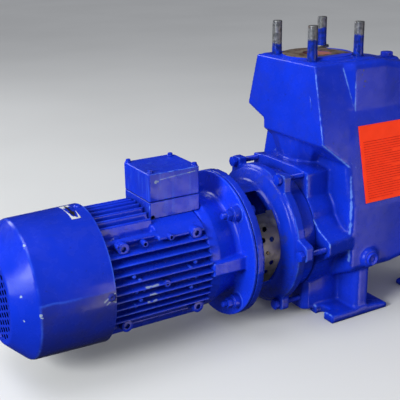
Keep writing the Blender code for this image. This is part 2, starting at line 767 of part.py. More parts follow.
def make_webs():
    """Walls under the drum that take the two lower bolts and run back to the rear legs."""
    webs = []
    for side in (-1, 1):
        plan = ((CASING_BACK_X, 0.0440), (CASING_BACK_X, 0.0740), (CASING_BACK_X + 0.0090, 0.0805),
                (LEG_BACK_X + 0.0020, 0.0805), (LEG_BACK_X + 0.0020, 0.0440))
        rings = [[(x, side * y, z) for x, y in plan] for z in (WEB_LOW_Z, -0.0620)]
        webs.append(loft(f"web_{side}", rings))
    return webs


def make_feet(name, mirror, leg_reach):
    """Slotted foot plates with their legs, toes tapering; mirrored for the suction end."""
    def along(x):
        return 2 * FEET_CENTRE_X - x if mirror else x

    inner = FOOT_HALF_SPAN - FOOT_WIDTH
    top = -SHAFT_HEIGHT + FOOT_THICKNESS
    toe_top = -SHAFT_HEIGHT + TOE_THICKNESS
    outline = [
        (FOOT_TIP_X, -SHAFT_HEIGHT), (FOOT_TOE_X, -SHAFT_HEIGHT), (FOOT_TOE_X, toe_top),
        (LEG_FRONT_X + 0.010, top), (FOOT_TIP_X, top),
    ]
    pieces = []
    for side in (-1, 1):
        rings = [[(along(x), side * y, z) for x, z in outline] for y in (inner, FOOT_HALF_SPAN)]
        foot = loft(f"{name}_{side}", rings)
        ends = sorted((along(FOOT_TIP_X - 0.01), along(SLOT_END_X)))
        slot = box(f"{name}_slot_{side}", (ends[0], side * SLOT_Y - SLOT_HALF_WIDTH, -0.16),
                   (ends[1], side * SLOT_Y + SLOT_HALF_WIDTH, -0.1))
        cut(foot, slot)
        pieces.append(foot)
        plan = (
            (LEG_BACK_X, 0.0400),
            (LEG_BACK_X, leg_reach - LEG_CORNER),
            (LEG_BACK_X + LEG_CORNER * 0.3, leg_reach - LEG_CORNER * 0.3),
            (LEG_BACK_X + LEG_CORNER, leg_reach),
            (LEG_FRONT_X, leg_reach),
            (LEG_FRONT_X, 0.0400),
        )
        rings = [[(along(x), side * y, z) for x, y in plan] for z in (0.0080 - SHAFT_HEIGHT, LEG_TOP_Z)]
        pieces.append(loft(f"{name}_leg_{side}", rings))
    return pieces


def make_pump_casing():
    casing = make_body()
    join(casing, make_tower())
    join(casing, make_throat())
    join(casing, make_volute_housing())
    join(casing, *make_feet("rear", False, REAR_LEG_REACH))
    join(casing, *make_feet("front", True, FRONT_LEG_REACH))
    join(casing, *make_webs())
    join(casing, box("discharge_pad", (0.1490, -0.0720, DECK_Z - 0.0100), (0.2740, 0.0720, PAD_Z)))
    face_base = DECK_Z - 0.0050
    join(casing, rod("raised_face", RAISED_FACE_RADIUS, (DISCHARGE_X, 0, face_base), (0, 0, 1),
                     PORT_FACE_Z - face_base, segments=48))
    flange_x = SUCTION_FACE_X - SUCTION_FLANGE_THICKNESS
    join(casing, rod("suction_neck", SUCTION_NECK_RADIUS, (0.4200, 0, SUCTION_Z), (1, 0, 0),
                     flange_x - 0.4180, segments=32))
    join(casing, rod("suction_flange", SUCTION_FLANGE_RADIUS, (flange_x, 0, SUCTION_Z), (1, 0, 0),
                     SUCTION_FLANGE_THICKNESS, segments=48))
    join(casing, rod("drain_boss", DRAIN_BOSS_RADIUS, (DRAIN_X, DRAIN_FACE_Y + 0.0230, DRAIN_Z), (0, -1, 0),
                     0.0230, segments=24))
    join(casing, rod("fill_boss", 0.0210, (FILL_PLUG_X, 0, 0.2600), (0, 0, 1), FILL_BOSS_TOP_Z - 0.2600,
                     segments=20))
    cut(casing, rod("discharge_port", DISCHARGE_BORE_RADIUS, (DISCHARGE_X, 0, 0.1900), (0, 0, 1), 0.13,
                    segments=32))
    cut(casing, rod("suction_port", SUCTION_BORE_RADIUS, (0.4000, 0, SUCTION_Z), (1, 0, 0), 0.10,
                    segments=32))


def make_discharge_studs():
    """Four studs; an old washer lies round the last one, on the rim of the raised face."""
    base = PAD_Z + GAP
    half = STUD_PITCH / 2
    number = 0
    for across in (-1, 1):
        for forward in (-1, 1):
            number += 1
            place = (DISCHARGE_X + forward * half, across * half, base)
            rod(f"discharge_stud_{number}", STUD_RADIUS, place, (0, 0, 1), STUD_TOP_Z - base, "bare_steel",
                16)
    low = PORT_FACE_Z + GAP
    ring = rod("stud_washer", 0.0130, (DISCHARGE_X + half, half, low), (0, 0, 1), 0.0040, "bare_steel", 20)
    cut(ring, rod("washer_hole", STUD_RADIUS + GAP, (DISCHARGE_X + half, half, low - 0.01), (0, 0, 1), 0.03,
                  segments=16))


def make_suction_studs():
    base = SUCTION_FACE_X + GAP
    number = 0
    for across in (-1, 1):
        for up in (-1, 1):
            number += 1
            place = (base, across * STUD_PITCH / 2, SUCTION_Z + up * STUD_PITCH / 2)
            rod(f"suction_stud_{number}", STUD_RADIUS, place, (1, 0, 0), SUCTION_STUD_LENGTH - GAP,
                "bare_steel")


def make_front_cover():
    base = BODY_END_X + GAP
    rod("front_cover", COVER_RADIUS, (base, 0, COVER_Z), (1, 0, 0), COVER_THICKNESS, segments=40)
    for i in range(4):
        y, z = on_circle(COVER_RADIUS - 0.0130, 45 + 90 * i)
        stack(f"cover_bolt_{i + 1}", ((0.0, HEX_RADIUS, 6), (0.0080, HEX_RADIUS, 6)),
              (base + COVER_THICKNESS + GAP, y, z + COVER_Z), (1, 0, 0), "cast_blue")


def make_plugs():
    stack("fill_plug", ((0.0, 0.0125, 0), (0.0015, 0.0125, 0), (0.0015, 0.0113, 6), (0.0085, 0.0113, 6)),
          (FILL_PLUG_X, 0, FILL_BOSS_TOP_Z + GAP), (0, 0, 1), "cast_blue")
    stack("drain_plug", ((0.0, 0.0118, 0), (0.0030, 0.0115, 0), (0.0040, 0.0105, 0)),
          (DRAIN_X, DRAIN_FACE_Y - GAP, DRAIN_Z), (0, -1, 0), "cast_blue")


def make_side_label():
    """A thin plate on the flared near side of the chamber."""
    rise = BODY_WAIST_Z - BODY_HIP_Z
    run = BODY_HIP_HALF_WIDTH - BODY_WAIST_HALF_WIDTH
    length = math.hypot(rise, run)
    down = Vector((0, -run / length, -rise / length))
    outward = Vector((0, -rise / length, run / length))
    corner = Vector((0.2170, -BODY_WAIST_HALF_WIDTH, BODY_WAIST_Z)) + down * 0.0280
    width = Vector((0.1050, 0, 0))
    height = down * 0.1290
    rings = []
    for lift in (GAP, 0.0011):
        start = corner + outward * lift
        rings.append([start, start + width, start + width + height, start + height])
    loft("side_label", rings, "label_orange")


clear_scene()
FRAME = add_frame()
make_fan_cowl()
make_fan_grille()
make_fan()
make_fan_shaft()
make_rear_end_shield()
make_motor_frame()
make_drive_end_shield()
make_terminal_box()
make_flange_bolts()
make_adapter_bracket()
make_guards()
make_pump_shaft()
make_seal_plate()
make_bracket_bolts()
make_pump_casing()
make_discharge_studs()
make_suction_studs()
make_front_cover()
make_plugs()
make_side_label()
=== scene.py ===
"""Looks of the self-priming centrifugal pump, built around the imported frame.

Lengths are metres. Places are given in the shaft frame, as in the part: the shaft is the X axis and
x = 0 is the motor-side face of the motor flange. place() turns them into the row frame.
"""
import math
import random

import bmesh
import bpy
from mathutils import Matrix, Vector


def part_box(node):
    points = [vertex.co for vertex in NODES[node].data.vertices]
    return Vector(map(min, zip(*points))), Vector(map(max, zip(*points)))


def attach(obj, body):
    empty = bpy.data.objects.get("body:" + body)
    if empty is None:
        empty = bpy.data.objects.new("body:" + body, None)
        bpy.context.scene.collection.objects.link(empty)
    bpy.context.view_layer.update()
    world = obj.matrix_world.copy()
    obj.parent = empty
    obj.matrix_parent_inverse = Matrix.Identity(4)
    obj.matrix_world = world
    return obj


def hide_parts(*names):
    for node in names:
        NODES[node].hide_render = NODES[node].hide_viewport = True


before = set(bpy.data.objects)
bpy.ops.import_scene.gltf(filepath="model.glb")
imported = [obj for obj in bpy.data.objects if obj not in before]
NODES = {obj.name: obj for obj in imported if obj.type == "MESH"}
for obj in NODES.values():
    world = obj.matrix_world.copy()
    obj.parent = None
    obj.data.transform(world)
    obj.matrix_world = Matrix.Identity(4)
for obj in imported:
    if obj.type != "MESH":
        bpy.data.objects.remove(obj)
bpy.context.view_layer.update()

TAU = 2 * math.pi
SIDES = (("near", -1), ("far", 1))

# Sizes of the part that the looks build on

MID_X = 0.07285
SHAFT_HEIGHT = 0.140
PORT_FACE_Z = 0.3027
RAISED_FACE_RADIUS = 0.0595
DISCHARGE_X = 0.2105
DISCHARGE_BORE_RADIUS = 0.0250
DISCHARGE_FLOOR_Z = 0.1905
SUCTION_Z = 0.1600
SUCTION_FACE_X = 0.4820
SUCTION_BORE_RADIUS = 0.0325
SUCTION_FLOOR_X = 0.4005
STUD_RADIUS = 0.0085
BOLT_RADIUS = 0.0050
COWL_FRONT_X = -0.2314
COWL_FRONT_RADIUS = 0.1102
COWL_CORNER_X = -0.3451
COWL_CORNER_RADIUS = 0.1077
COWL_END_X = -0.3783
COWL_END_RADIUS = 0.0754
COWL_WALL = 0.0020


def place(x, y, z):
    """A point of the shaft frame in the row frame."""
    return Vector((x - MID_X, y, z + SHAFT_HEIGHT))


def add_object(name, data):
    made = bpy.data.objects.new(name, data)
    bpy.context.scene.collection.objects.link(made)
    return made


def end_of(node, axis, far=False):
    """The middle of one end of a node: the low end along an axis, or the high one."""
    low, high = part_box(node)
    spot = (low + high) / 2
    spot[axis] = high[axis] if far else low[axis]
    return spot


# Camera, fitted to the photograph

FRAME_PIXELS = 400
FOCAL_PIXELS = 794.9
SENSOR_WIDTH = 36.0


def make_camera():
    """The camera at the photograph's place, turned by yaw, pitch and roll in radians."""
    yaw = 0.5218
    pitch = -0.3234
    roll = -0.0177
    forward = Vector((math.sin(yaw) * math.cos(pitch), math.cos(yaw) * math.cos(pitch), math.sin(pitch)))
    level = Vector((math.cos(yaw), -math.sin(yaw), 0.0))
    up = level.cross(forward)
    right = math.cos(roll) * level + math.sin(roll) * up
    up = math.cos(roll) * up - math.sin(roll) * level
    data = bpy.data.cameras.new("photo_camera")
    data.sensor_width = SENSOR_WIDTH
    data.lens = FOCAL_PIXELS / FRAME_PIXELS * SENSOR_WIDTH
    data.shift_x = 0.01418
    data.shift_y = -0.01225
    data.clip_start = 0.05
    data.clip_end = 60.0
    camera = add_object("photo_camera", data)
    turn = Matrix((right, up, -forward)).transposed().to_4x4()
    camera.matrix_world = Matrix.Translation(place(-0.6523, -1.0726, 0.5064)) @ turn
    bpy.context.scene.camera = camera


make_camera()


# Node materials


class Graph:
    """A Principled material and short ways to add nodes to it."""

    def __init__(self, name):
        self.material = bpy.data.materials.new(name)
        self.material.use_nodes = True
        self.tree = self.material.node_tree
        self.surface = self.tree.nodes["Principled BSDF"]
        self.coords = self.node("ShaderNodeTexCoord").outputs["Object"]

    def node(self, kind, **settings):
        made = self.tree.nodes.new(kind)
        for key, value in settings.items():
            setattr(made, key, value)
        return made

    def link(self, source, target):
        self.tree.links.new(source, target)

    def feed(self, socket, value):
        if isinstance(value, bpy.types.NodeSocket):
            self.link(value, socket)
        else:
            socket.default_value = value

    def noise(self, scale, detail=3.0, roughness=0.5, coords=None):
        made = self.node("ShaderNodeTexNoise")
        self.link(coords or self.coords, made.inputs["Vector"])
        made.inputs["Scale"].default_value = scale
        made.inputs["Detail"].default_value = detail
        made.inputs["Roughness"].default_value = roughness
        return made.outputs["Fac"]

    def wander(self, scale, detail, reach):
        """Noise about zero, for the ragged run of a border."""
        return self.times(self.math("SUBTRACT", self.noise(scale, detail), 0.5), reach)

    def ramp(self, value, low, high, out_low=0.0, out_high=1.0):
        """A soft step of a value, from out_low at low to out_high at high."""
        made = self.node("ShaderNodeMapRange", interpolation_type="SMOOTHSTEP")
        self.feed(made.inputs["Value"], value)
        for key, number in zip(("From Min", "From Max", "To Min", "To Max"), (low, high, out_low, out_high)):
            made.inputs[key].default_value = number
        return made.outputs["Result"]

    def math(self, operation, a, b=0.0):
        made = self.node("ShaderNodeMath", operation=operation)
        self.feed(made.inputs[0], a)
        self.feed(made.inputs[1], b)
        return made.outputs[0]

    def times(self, first, *others):
        for other in others:
            first = self.math("MULTIPLY", first, other)
        return first

    def mix(self, factor, a, b):
        made = self.node("ShaderNodeMix", data_type="RGBA")
        self.feed(made.inputs[0], factor)
        for socket, value in ((made.inputs[6], a), (made.inputs[7], b)):
            self.feed(socket, (*value, 1.0) if isinstance(value, tuple) else value)
        return made.outputs[2]

    def axis(self, index):
        made = self.node("ShaderNodeSeparateXYZ")
        self.link(self.coords, made.inputs[0])
        return made.outputs[index]

    def edges(self):
        """A mask of the mesh's outward edges, where painted highlights go."""
        made = self.node("ShaderNodeNewGeometry")
        return self.ramp(made.outputs["Pointiness"], 0.530, 0.575)

    def hollows(self):
        """A mask of hollows and inner corners, from what lies within 30 mm of a face, for painted shade."""
        made = self.node("ShaderNodeAmbientOcclusion", samples=6)
        made.inputs["Distance"].default_value = 0.030
        return self.math("SUBTRACT", 1.0, self.ramp(made.outputs["AO"], 0.35, 0.95))

    def spots(self, points):
        """A mask round given points of the row frame, with ragged edges: (point, radius) each."""
        shift = self.wander(380.0, 3.0, 0.0044)
        mask = None
        for point, radius in points:
            near = self.math("ADD", self.vector("DISTANCE", self.coords, point), shift)
            spot = self.ramp(near, radius, radius * 0.7)
            mask = spot if mask is None else self.math("MAXIMUM", mask, spot)
        return mask

    def strokes(self, lines):
        """A mask along given row-frame segments, for painted highlight lines and scratches:
        (start, end, half width) each.
        """
        shift = self.math("SUBTRACT", self.noise(150.0, 3.0), 0.45)
        mask = None
        for start, end, width in lines:
            run = end - start
            from_start = self.vector("SUBTRACT", self.coords, start)
            along = self.vector("DOT_PRODUCT", from_start, run / run.length_squared)
            share = self.node("ShaderNodeClamp")
            self.link(along, share.inputs["Value"])
            foot = self.vector("SCALE", run, scale=share.outputs[0])
            gap = self.vector("DISTANCE", from_start, foot)
            ragged = self.math("ADD", gap, self.times(shift, width * 2.0))
            stroke = self.ramp(ragged, width, width * 0.3)
            mask = stroke if mask is None else self.math("MAXIMUM", mask, stroke)
        return mask

    def vector(self, operation, a, b=None, scale=None):
        made = self.node("ShaderNodeVectorMath", operation=operation)
        self.feed(made.inputs[0], a)
        if b is not None:
            self.feed(made.inputs[1], b)
        if scale is not None:
            self.feed(made.inputs["Scale"], scale)
        return made.outputs["Value" if operation in ("DOT_PRODUCT", "DISTANCE") else "Vector"]

    def bump(self, *layers):
        """Bump from (height, strength, distance) layers, one over another."""
        normal = None
        for height, strength, distance in layers:
            made = self.node("ShaderNodeBump")
            made.inputs["Strength"].default_value = strength
            made.inputs["Distance"].default_value = distance
            self.link(height, made.inputs["Height"])
            if normal is not None:
                self.link(normal, made.inputs["Normal"])
            normal = made.outputs["Normal"]
        self.link(normal, self.surface.inputs["Normal"])

    def set(self, **values):
        for key, value in values.items():
            socket = self.surface.inputs[key.replace("_", " ").title().replace("Ior", "IOR")]
            self.feed(socket, (*value, 1.0) if isinstance(value, tuple) else value)


DEEP_BLUE = (0.0034, 0.0260, 0.500)
BRIGHT_BLUE = (0.0044, 0.0340, 0.690)
# Pale blue: painted highlights on edges, rings and the cowl's line, and the box's brush streaks.
HIGHLIGHT_AND_STREAK_BLUE = (0.0600, 0.1700, 0.880)
# Paler blue of the painted highlight lines.
HIGHLIGHT_LINE_BLUE = (0.1500, 0.3000, 0.880)
# Near-black navy: painted shade in hollows, and the colour of dark specks of dirt.
GRIME_AND_SHADE = (0.0040, 0.0070, 0.0450)
# Grey-blue of matte paint patches, and of painted sheen and reflection.
DULL_AND_SHEEN_BLUE = (0.0260, 0.0340, 0.260)
BARE_GREY = (0.340, 0.420, 0.520)
DIRT = (0.030, 0.042, 0.075)
STAIN = (0.110, 0.100, 0.130)


def scaled(colour, factor):
    return tuple(c * factor for c in colour)


def painted_low_sheen(g, colour, top):
    """The cowl's body, not its cone: a painted reflection below a height, under a painted highlight line."""
    height = g.math("ADD", g.axis(2), g.wander(30.0, 3.0, 0.006))
    body = g.ramp(g.axis(0), place(-0.3480, 0, 0).x, place(-0.3420, 0, 0).x)
    low = g.times(g.ramp(height, top, top - 0.004), body)
    sheen_mottle = g.ramp(g.noise(14.0, 5.0, 0.6), 0.35, 0.65, 0.30, 0.95)
    colour = g.mix(g.times(low, sheen_mottle), colour, DULL_AND_SHEEN_BLUE)
    # A painted highlight line just above the painted reflection.
    line = g.times(g.ramp(height, top + 0.0020, top), g.math("SUBTRACT", 1.0, low), body,
                   g.ramp(g.noise(20.0, 4.0), 0.35, 0.60), 0.40)
    return g.mix(line, colour, HIGHLIGHT_AND_STREAK_BLUE)


def enamel(name, grain=0.25, chips=(), highlight_lines=(), scratches=(), hollow_shade=0.6, dull_and_sheen=0.25, sheen_below=None,
           edge=0.5, dirt=0.0, bare=BARE_GREY, rings=(), brushed=0.0, tone=1.0):
    """Brushed-on blue paint: cloudy, with painted highlights on its edges and painted shade in its hollows,
    chipped at given spots.

    chips, highlight_lines and scratches come from spots_at and strokes_at; highlight_lines are painted
    highlight lines. rings are painted highlight bands round the shaft: (x, half width, amount) each.
    hollow_shade, dull_and_sheen, edge, dirt and brushed say how much of each shows, grain how strong the
    bumps are and tone how bright the clean paint is. hollow_shade is painted shade, edge a painted
    highlight on outward edges, and dull_and_sheen matte grey-blue patches, partly paint tone and partly
    painted sheen. Below sheen_below the cowl's body carries a painted reflection. tone makes the one
    enamel lighter or darker part by part, as painted light and shade.
    """
    g = Graph(name)
    cloud = g.ramp(g.noise(6.0, 4.0, 0.6), 0.30, 0.70)
    # tone scales the clean paint's brightness part by part, as painted light and shade.
    colour = g.mix(cloud, scaled(DEEP_BLUE, tone), scaled(BRIGHT_BLUE, tone))
    # Random matte grey-blue patches; made strong on the box and lid, they stand for painted sheen.
    patches = g.ramp(g.noise(9.0, 5.0, 0.65), 0.42, 0.80)
    colour = g.mix(g.times(patches, dull_and_sheen), colour, DULL_AND_SHEEN_BLUE)
    if sheen_below is not None:
        colour = painted_low_sheen(g, colour, sheen_below)
    if brushed:
        upright = g.vector("MULTIPLY", g.coords, Vector((1.0, 1.0, 0.10)))
        marks = g.ramp(g.noise(130.0, 4.0, 0.6, coords=upright), 0.52, 0.74)
        colour = g.mix(g.times(marks, brushed), colour, HIGHLIGHT_AND_STREAK_BLUE)
    # Painted highlights along outward edges, broken up by noise.
    if edge:
        edge_highlight = g.times(g.edges(), g.ramp(g.noise(35.0, 4.0), 0.30, 0.55), edge)
        colour = g.mix(edge_highlight, colour, HIGHLIGHT_AND_STREAK_BLUE)
    # Painted highlight bands round the shaft, at a rim, crease or edge.
    for x, width, amount in rings:
        gap = g.math("ABSOLUTE", g.math("SUBTRACT", g.axis(0), place(x, 0, 0).x))
        ring = g.times(g.ramp(gap, width, width * 0.2), g.ramp(g.noise(24.0, 4.0), 0.35, 0.60), amount)
        colour = g.mix(ring, colour, HIGHLIGHT_AND_STREAK_BLUE)
    # Painted highlight lines along given edges.
    if highlight_lines:
        colour = g.mix(g.times(g.strokes(highlight_lines), 0.75), colour, HIGHLIGHT_LINE_BLUE)
    # Painted shade: near-black navy in hollows and inner corners.
    colour = g.mix(g.times(g.hollows(), hollow_shade), colour, GRIME_AND_SHADE)
    specks = g.ramp(g.noise(170.0, 2.0, 0.4), 0.70, 0.76)
    colour = g.mix(g.times(specks, 0.30), colour, GRIME_AND_SHADE)
    if dirt:
        crust = g.ramp(g.noise(26.0, 6.0, 0.7), 0.50, 0.68)
        colour = g.mix(g.times(crust, dirt), colour, DIRT)
    rough = g.ramp(g.noise(60.0, 3.0), 0.3, 0.7, 0.18, 0.32)
    if scratches:
        colour = g.mix(g.times(g.strokes(scratches), 0.8), colour, BARE_GREY)
    if chips:
        mask = g.spots(chips)
        colour = g.mix(g.times(mask, 0.85), colour, bare)
        rough = g.math("ADD", rough, g.times(mask, 0.2))
    g.set(base_color=colour, roughness=rough, coat_weight=0.20, coat_roughness=0.06,
          specular_ior_level=0.42)
    g.bump((g.noise(28.0, 3.0), grain, 0.0015), (g.noise(240.0, 2.0), grain * 0.5, 0.0004))
    return g.material


def steel(name, colour, roughness=0.35, stain=(0.16, 0.10, 0.06), amount=0.5):
    """Bare metal with fine streaks and spots of stain."""
    g = Graph(name)
    streaks = g.noise(120.0, 4.0, 0.6)
    tone = g.mix(g.ramp(streaks, 0.3, 0.7), scaled(colour, 0.7), colour)
    spots = g.times(g.ramp(g.noise(45.0, 5.0, 0.7), 0.52, 0.70), amount)
    g.set(base_color=g.mix(spots, tone, stain), metallic=g.math("SUBTRACT", 1.0, spots),
          roughness=g.ramp(streaks, 0.2, 0.8, roughness - 0.08, roughness + 0.16))
    g.bump((g.noise(300.0, 3.0), 0.15, 0.0004))
    return g.material


def half_painted(name, paint_top):
    """Stud steel with old blue paint on its lower part, ending in a ragged line."""
    g = Graph(name)
    streaks = g.noise(150.0, 4.0, 0.6)
    metal = g.mix(g.ramp(streaks, 0.3, 0.7), (0.20, 0.21, 0.225), (0.47, 0.47, 0.49))
    rust = g.ramp(g.noise(90.0, 4.0, 0.7), 0.55, 0.72)
    metal = g.mix(g.times(rust, 0.6), metal, (0.16, 0.085, 0.045))
    height = g.math("ADD", g.axis(2), g.wander(160.0, 3.0, 0.012))
    bare = g.ramp(height, paint_top - 0.002, paint_top + 0.001)
    paint = g.mix(g.ramp(streaks, 0.35, 0.70), (0.0030, 0.0140, 0.150), (0.0040, 0.0300, 0.460))
    g.set(base_color=g.mix(bare, paint, metal), metallic=g.times(bare, 0.75),
          roughness=g.ramp(bare, 0.0, 1.0, 0.28, 0.42))
    g.bump((g.noise(260.0, 3.0), 0.2, 0.0004))
    return g.material


def plain(name, colour, roughness, grain=0.1, variation=0.2, gloss=0.5, painted_glow=0.0):
    """A plain surface; painted_glow is emission on a part that is no lamp, painted light that brightens it.
    """
    g = Graph(name)
    cloud = g.ramp(g.noise(50.0, 4.0), 0.3, 0.7)
    g.set(base_color=g.mix(cloud, scaled(colour, 1 - variation), colour), specular_ior_level=gloss,
          emission_color=colour, emission_strength=painted_glow,
          roughness=g.ramp(g.noise(90.0, 3.0), 0.3, 0.7, roughness - 0.06, roughness + 0.06))
    g.bump((g.noise(220.0, 2.0), grain, 0.0004))
    return g.material


def machined_face():
    """The old machined joint face: brown-grey with rust, and blue paint creeping in on two sides."""
    g = Graph("joint_face")
    rust = g.ramp(g.noise(55.0, 6.0, 0.7), 0.4, 0.62)
    tone = g.mix(rust, (0.200, 0.155, 0.120), (0.085, 0.042, 0.026))
    pale = g.ramp(g.noise(120.0, 4.0), 0.58, 0.72)
    tone = g.mix(g.times(pale, 0.6), tone, (0.36, 0.31, 0.27))
    wander = g.wander(40.0, 4.0, 0.030)
    near = g.ramp(g.math("ADD", g.axis(1), wander), -0.034, -0.042)
    right = g.ramp(g.math("ADD", g.axis(0), wander), place(0.2530, 0, 0).x, place(0.2610, 0, 0).x)
    tone = g.mix(g.math("MAXIMUM", near, right), tone, BRIGHT_BLUE)
    g.set(base_color=tone, roughness=0.72, metallic=0.15, specular_ior_level=0.3)
    g.bump((g.noise(320.0, 4.0), 0.5, 0.0006))
    return g.material


# Mesh helpers


def piece_from(name, points, faces, material, slot, replaced=(), sharp=35.0):
    """A piece of the pump from points and faces, with its faces turned outward."""
    mesh = bpy.data.meshes.new(name)
    mesh.from_pydata([tuple(p) for p in points], [], faces)
    shape = bmesh.new()
    shape.from_mesh(mesh)
    bmesh.ops.remove_doubles(shape, verts=shape.verts, dist=1e-6)
    bmesh.ops.recalc_face_normals(shape, faces=shape.faces)
    shape.to_mesh(mesh)
    shape.free()
    piece_of(name, mesh, material, replaced, sharp)


def piece_of(name, mesh, material, replaced=(), sharp=35.0):
    """A piece of the pump from a mesh, shaded smooth except at edges above an angle in degrees."""
    mesh.shade_smooth()
    mesh.set_sharp_from_angle(angle=math.radians(sharp))
    mesh.materials.clear()
    mesh.materials.append(material)
    piece = add_object(name, mesh)
    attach(piece, "root")
    if replaced:
        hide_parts(*replaced)
    return piece


def evaluated(name, mesh, *modifiers):
    """The mesh after these modifiers: (type, settings) each."""
    helper = add_object(name + "_helper", mesh)
    for kind, settings in modifiers:
        modifier = helper.modifiers.new(kind.lower(), kind)
        for key, value in settings.items():
            setattr(modifier, key, value)
    bpy.context.view_layer.update()
    graph = bpy.context.evaluated_depsgraph_get()
    result = bpy.data.meshes.new_from_object(helper.evaluated_get(graph))
    bpy.data.objects.remove(helper)
    return result


def welded(node):
    """A copy of a CAD node's mesh with its split corners joined again."""
    mesh = NODES[node].data.copy()
    shape = bmesh.new()
    shape.from_mesh(mesh)
    bmesh.ops.remove_doubles(shape, verts=shape.verts, dist=1e-5)
    bmesh.ops.dissolve_limit(shape, angle_limit=math.radians(0.5), verts=shape.verts, edges=shape.edges)
    shape.to_mesh(mesh)
    shape.free()
    return mesh


def casting(node, voxel, rounds, material):
    """A CAD casting with its edges and inner corners rounded as in sand casting."""
    mesh = evaluated(
        node, welded(node),
        ("REMESH", {"mode": "VOXEL", "voxel_size": voxel}),
        ("SMOOTH", {"factor": 0.5, "iterations": rounds}),
        ("DECIMATE", {"ratio": 0.5}),
    )
    piece_of(node + "_cast", mesh, material, (node,), sharp=60.0)


def flatten_shading(mesh):
    """Keep flat faces flat between rounded edges: large faces lead the normals of their corners."""
    least_dot = math.cos(math.radians(50.0))
    around = [[] for _ in mesh.vertices]
    for face in mesh.polygons:
        for index in face.vertices:
            around[index].append(face)
    normals = []
    for face in mesh.polygons:
        for index in face.vertices:
            near = (f.normal * f.area for f in around[index] if f.normal.dot(face.normal) > least_dot)
            normals.append(sum(near, Vector()).normalized())
    mesh.normals_split_custom_set(normals)


def bevelled(node, width, material, segments=3):
    """A CAD node with its sharp edges rounded."""
    mesh = evaluated(
        node, welded(node),
        ("BEVEL", {"width": width, "segments": segments, "limit_method": "ANGLE",
                   "angle_limit": math.radians(40.0)}),
    )
    piece = piece_of(node + "_rounded", mesh, material, (node,), sharp=50.0)
    flatten_shading(piece.data)


def frame_along(base, axis):
    """The matrix that takes the origin to a base and +Z to an axis."""
    turn = Vector((0, 0, 1)).rotation_difference(Vector(axis).normalized()).to_matrix().to_4x4()
    return Matrix.Translation(base) @ turn


def circle(radius, height, segments):
    return [Vector((radius * math.cos(TAU * i / segments), radius * math.sin(TAU * i / segments), height))
            for i in range(segments)]


def rings_to_mesh(rings, closed_ends=True):
    """Points and faces of a tube through rings of points."""
    count = len(rings[0])
    points = [p for ring in rings for p in ring]
    faces = []
    for r in range(len(rings) - 1):
        low = r * count
        high = low + count
        for i in range(count):
            j = (i + 1) % count
            faces.append((low + i, low + j, high + j, high + i))
    if closed_ends:
        faces.append(tuple(range(count)))
        faces.append(tuple(range(len(points) - count, len(points))))
    return points, faces


def hex_reach(radius, angle):
    """Distance from the axis to a hexagon's side at an angle, for a corner radius."""
    sixth = math.pi / 3
    return radius * math.cos(sixth / 2) / math.cos((angle % sixth) - sixth / 2)


def lathe(name, steps, base, axis, material, slot, replaced=(), segments=36, twist=0.0):
    """Steps along an axis: (height, radius) each, and a corner radius too where it is a hexagon."""
    place_at = frame_along(base, axis)
    rings = []
    for height, radius, *corner in steps:
        ring = []
        for i in range(segments):
            angle = TAU * i / segments
            reach = min(radius, hex_reach(*corner, angle)) if corner else radius
            turned = angle + twist
            ring.append(place_at @ Vector((reach * math.cos(turned), reach * math.sin(turned), height)))
        rings.append(ring)
    piece_from(name, *rings_to_mesh(rings), material, slot, replaced)


def screw(name, steps, x, reach, degrees, segments, material, slot):
    """A small round screw that points away from the shaft, at an angle counted from +Y."""
    angle = math.radians(degrees)
    outward = Vector((0.0, math.cos(angle), math.sin(angle)))
    lathe(name, steps, place(x, reach * outward.y, reach * outward.z), outward, material, slot,
          segments=segments)


def hex_steps(start, height, corner, up=True):
    """Steps of a hexagon head or nut whose outer end is chamfered."""
    chamfer = height * 0.16
    steps = [
        (0.0, corner * 0.93, corner),
        (chamfer * 0.4, corner, corner),
        (height - chamfer, corner, corner),
        (height - chamfer * 0.35, corner * 0.95, corner),
        (height, corner * 0.84, corner),
    ]
    if not up:
        steps = [(height - h, r, c) for h, r, c in reversed(steps)]
    return [(start + h, r, c) for h, r, c in steps]


def thread_steps(start, end, radius, pitch):
    """Steps of a thread shown as rings."""
    root = radius - pitch * 0.32
    count = max(1, round((end - start) / pitch))
    step = (end - start) / count
    steps = []
    for i in range(count):
        steps.append((start + step * i, root))
        steps.append((start + step * (i + 0.5), radius))
    steps.append((end, root))
    return steps


def rounded_box(name, low, high, width, material):
    """A box between two corners with narrow chamfers."""
    shape = bmesh.new()
    bmesh.ops.create_cube(shape, size=1.0)
    size = high - low
    middle = (high + low) / 2
    for v in shape.verts:
        v.co = Vector(share * side for share, side in zip(v.co, size)) + middle
    bmesh.ops.bevel(shape, geom=list(shape.edges), offset=width, segments=1, affect="EDGES", profile=0.5)
    mesh = bpy.data.meshes.new(name)
    shape.to_mesh(mesh)
    shape.free()
    piece_of(name, mesh, material, sharp=50.0)


def turned_shell(name, profile, segments, material, slot, replaced=(), sharp=35.0):
    """A closed profile of (x, radius) points turned about the shaft."""
    count = len(profile)
    points = []
    for i in range(segments):
        angle = TAU * i / segments
        points += [place(x, r * math.cos(angle), r * math.sin(angle)) for x, r in profile]
    faces = []
    for i in range(segments):
        here = i * count
        there = ((i + 1) % segments) * count
        for k in range(count):
            m = (k + 1) % count
            faces.append((here + k, here + m, there + m, there + k))
    piece_from(name, points, faces, material, slot, replaced, sharp)


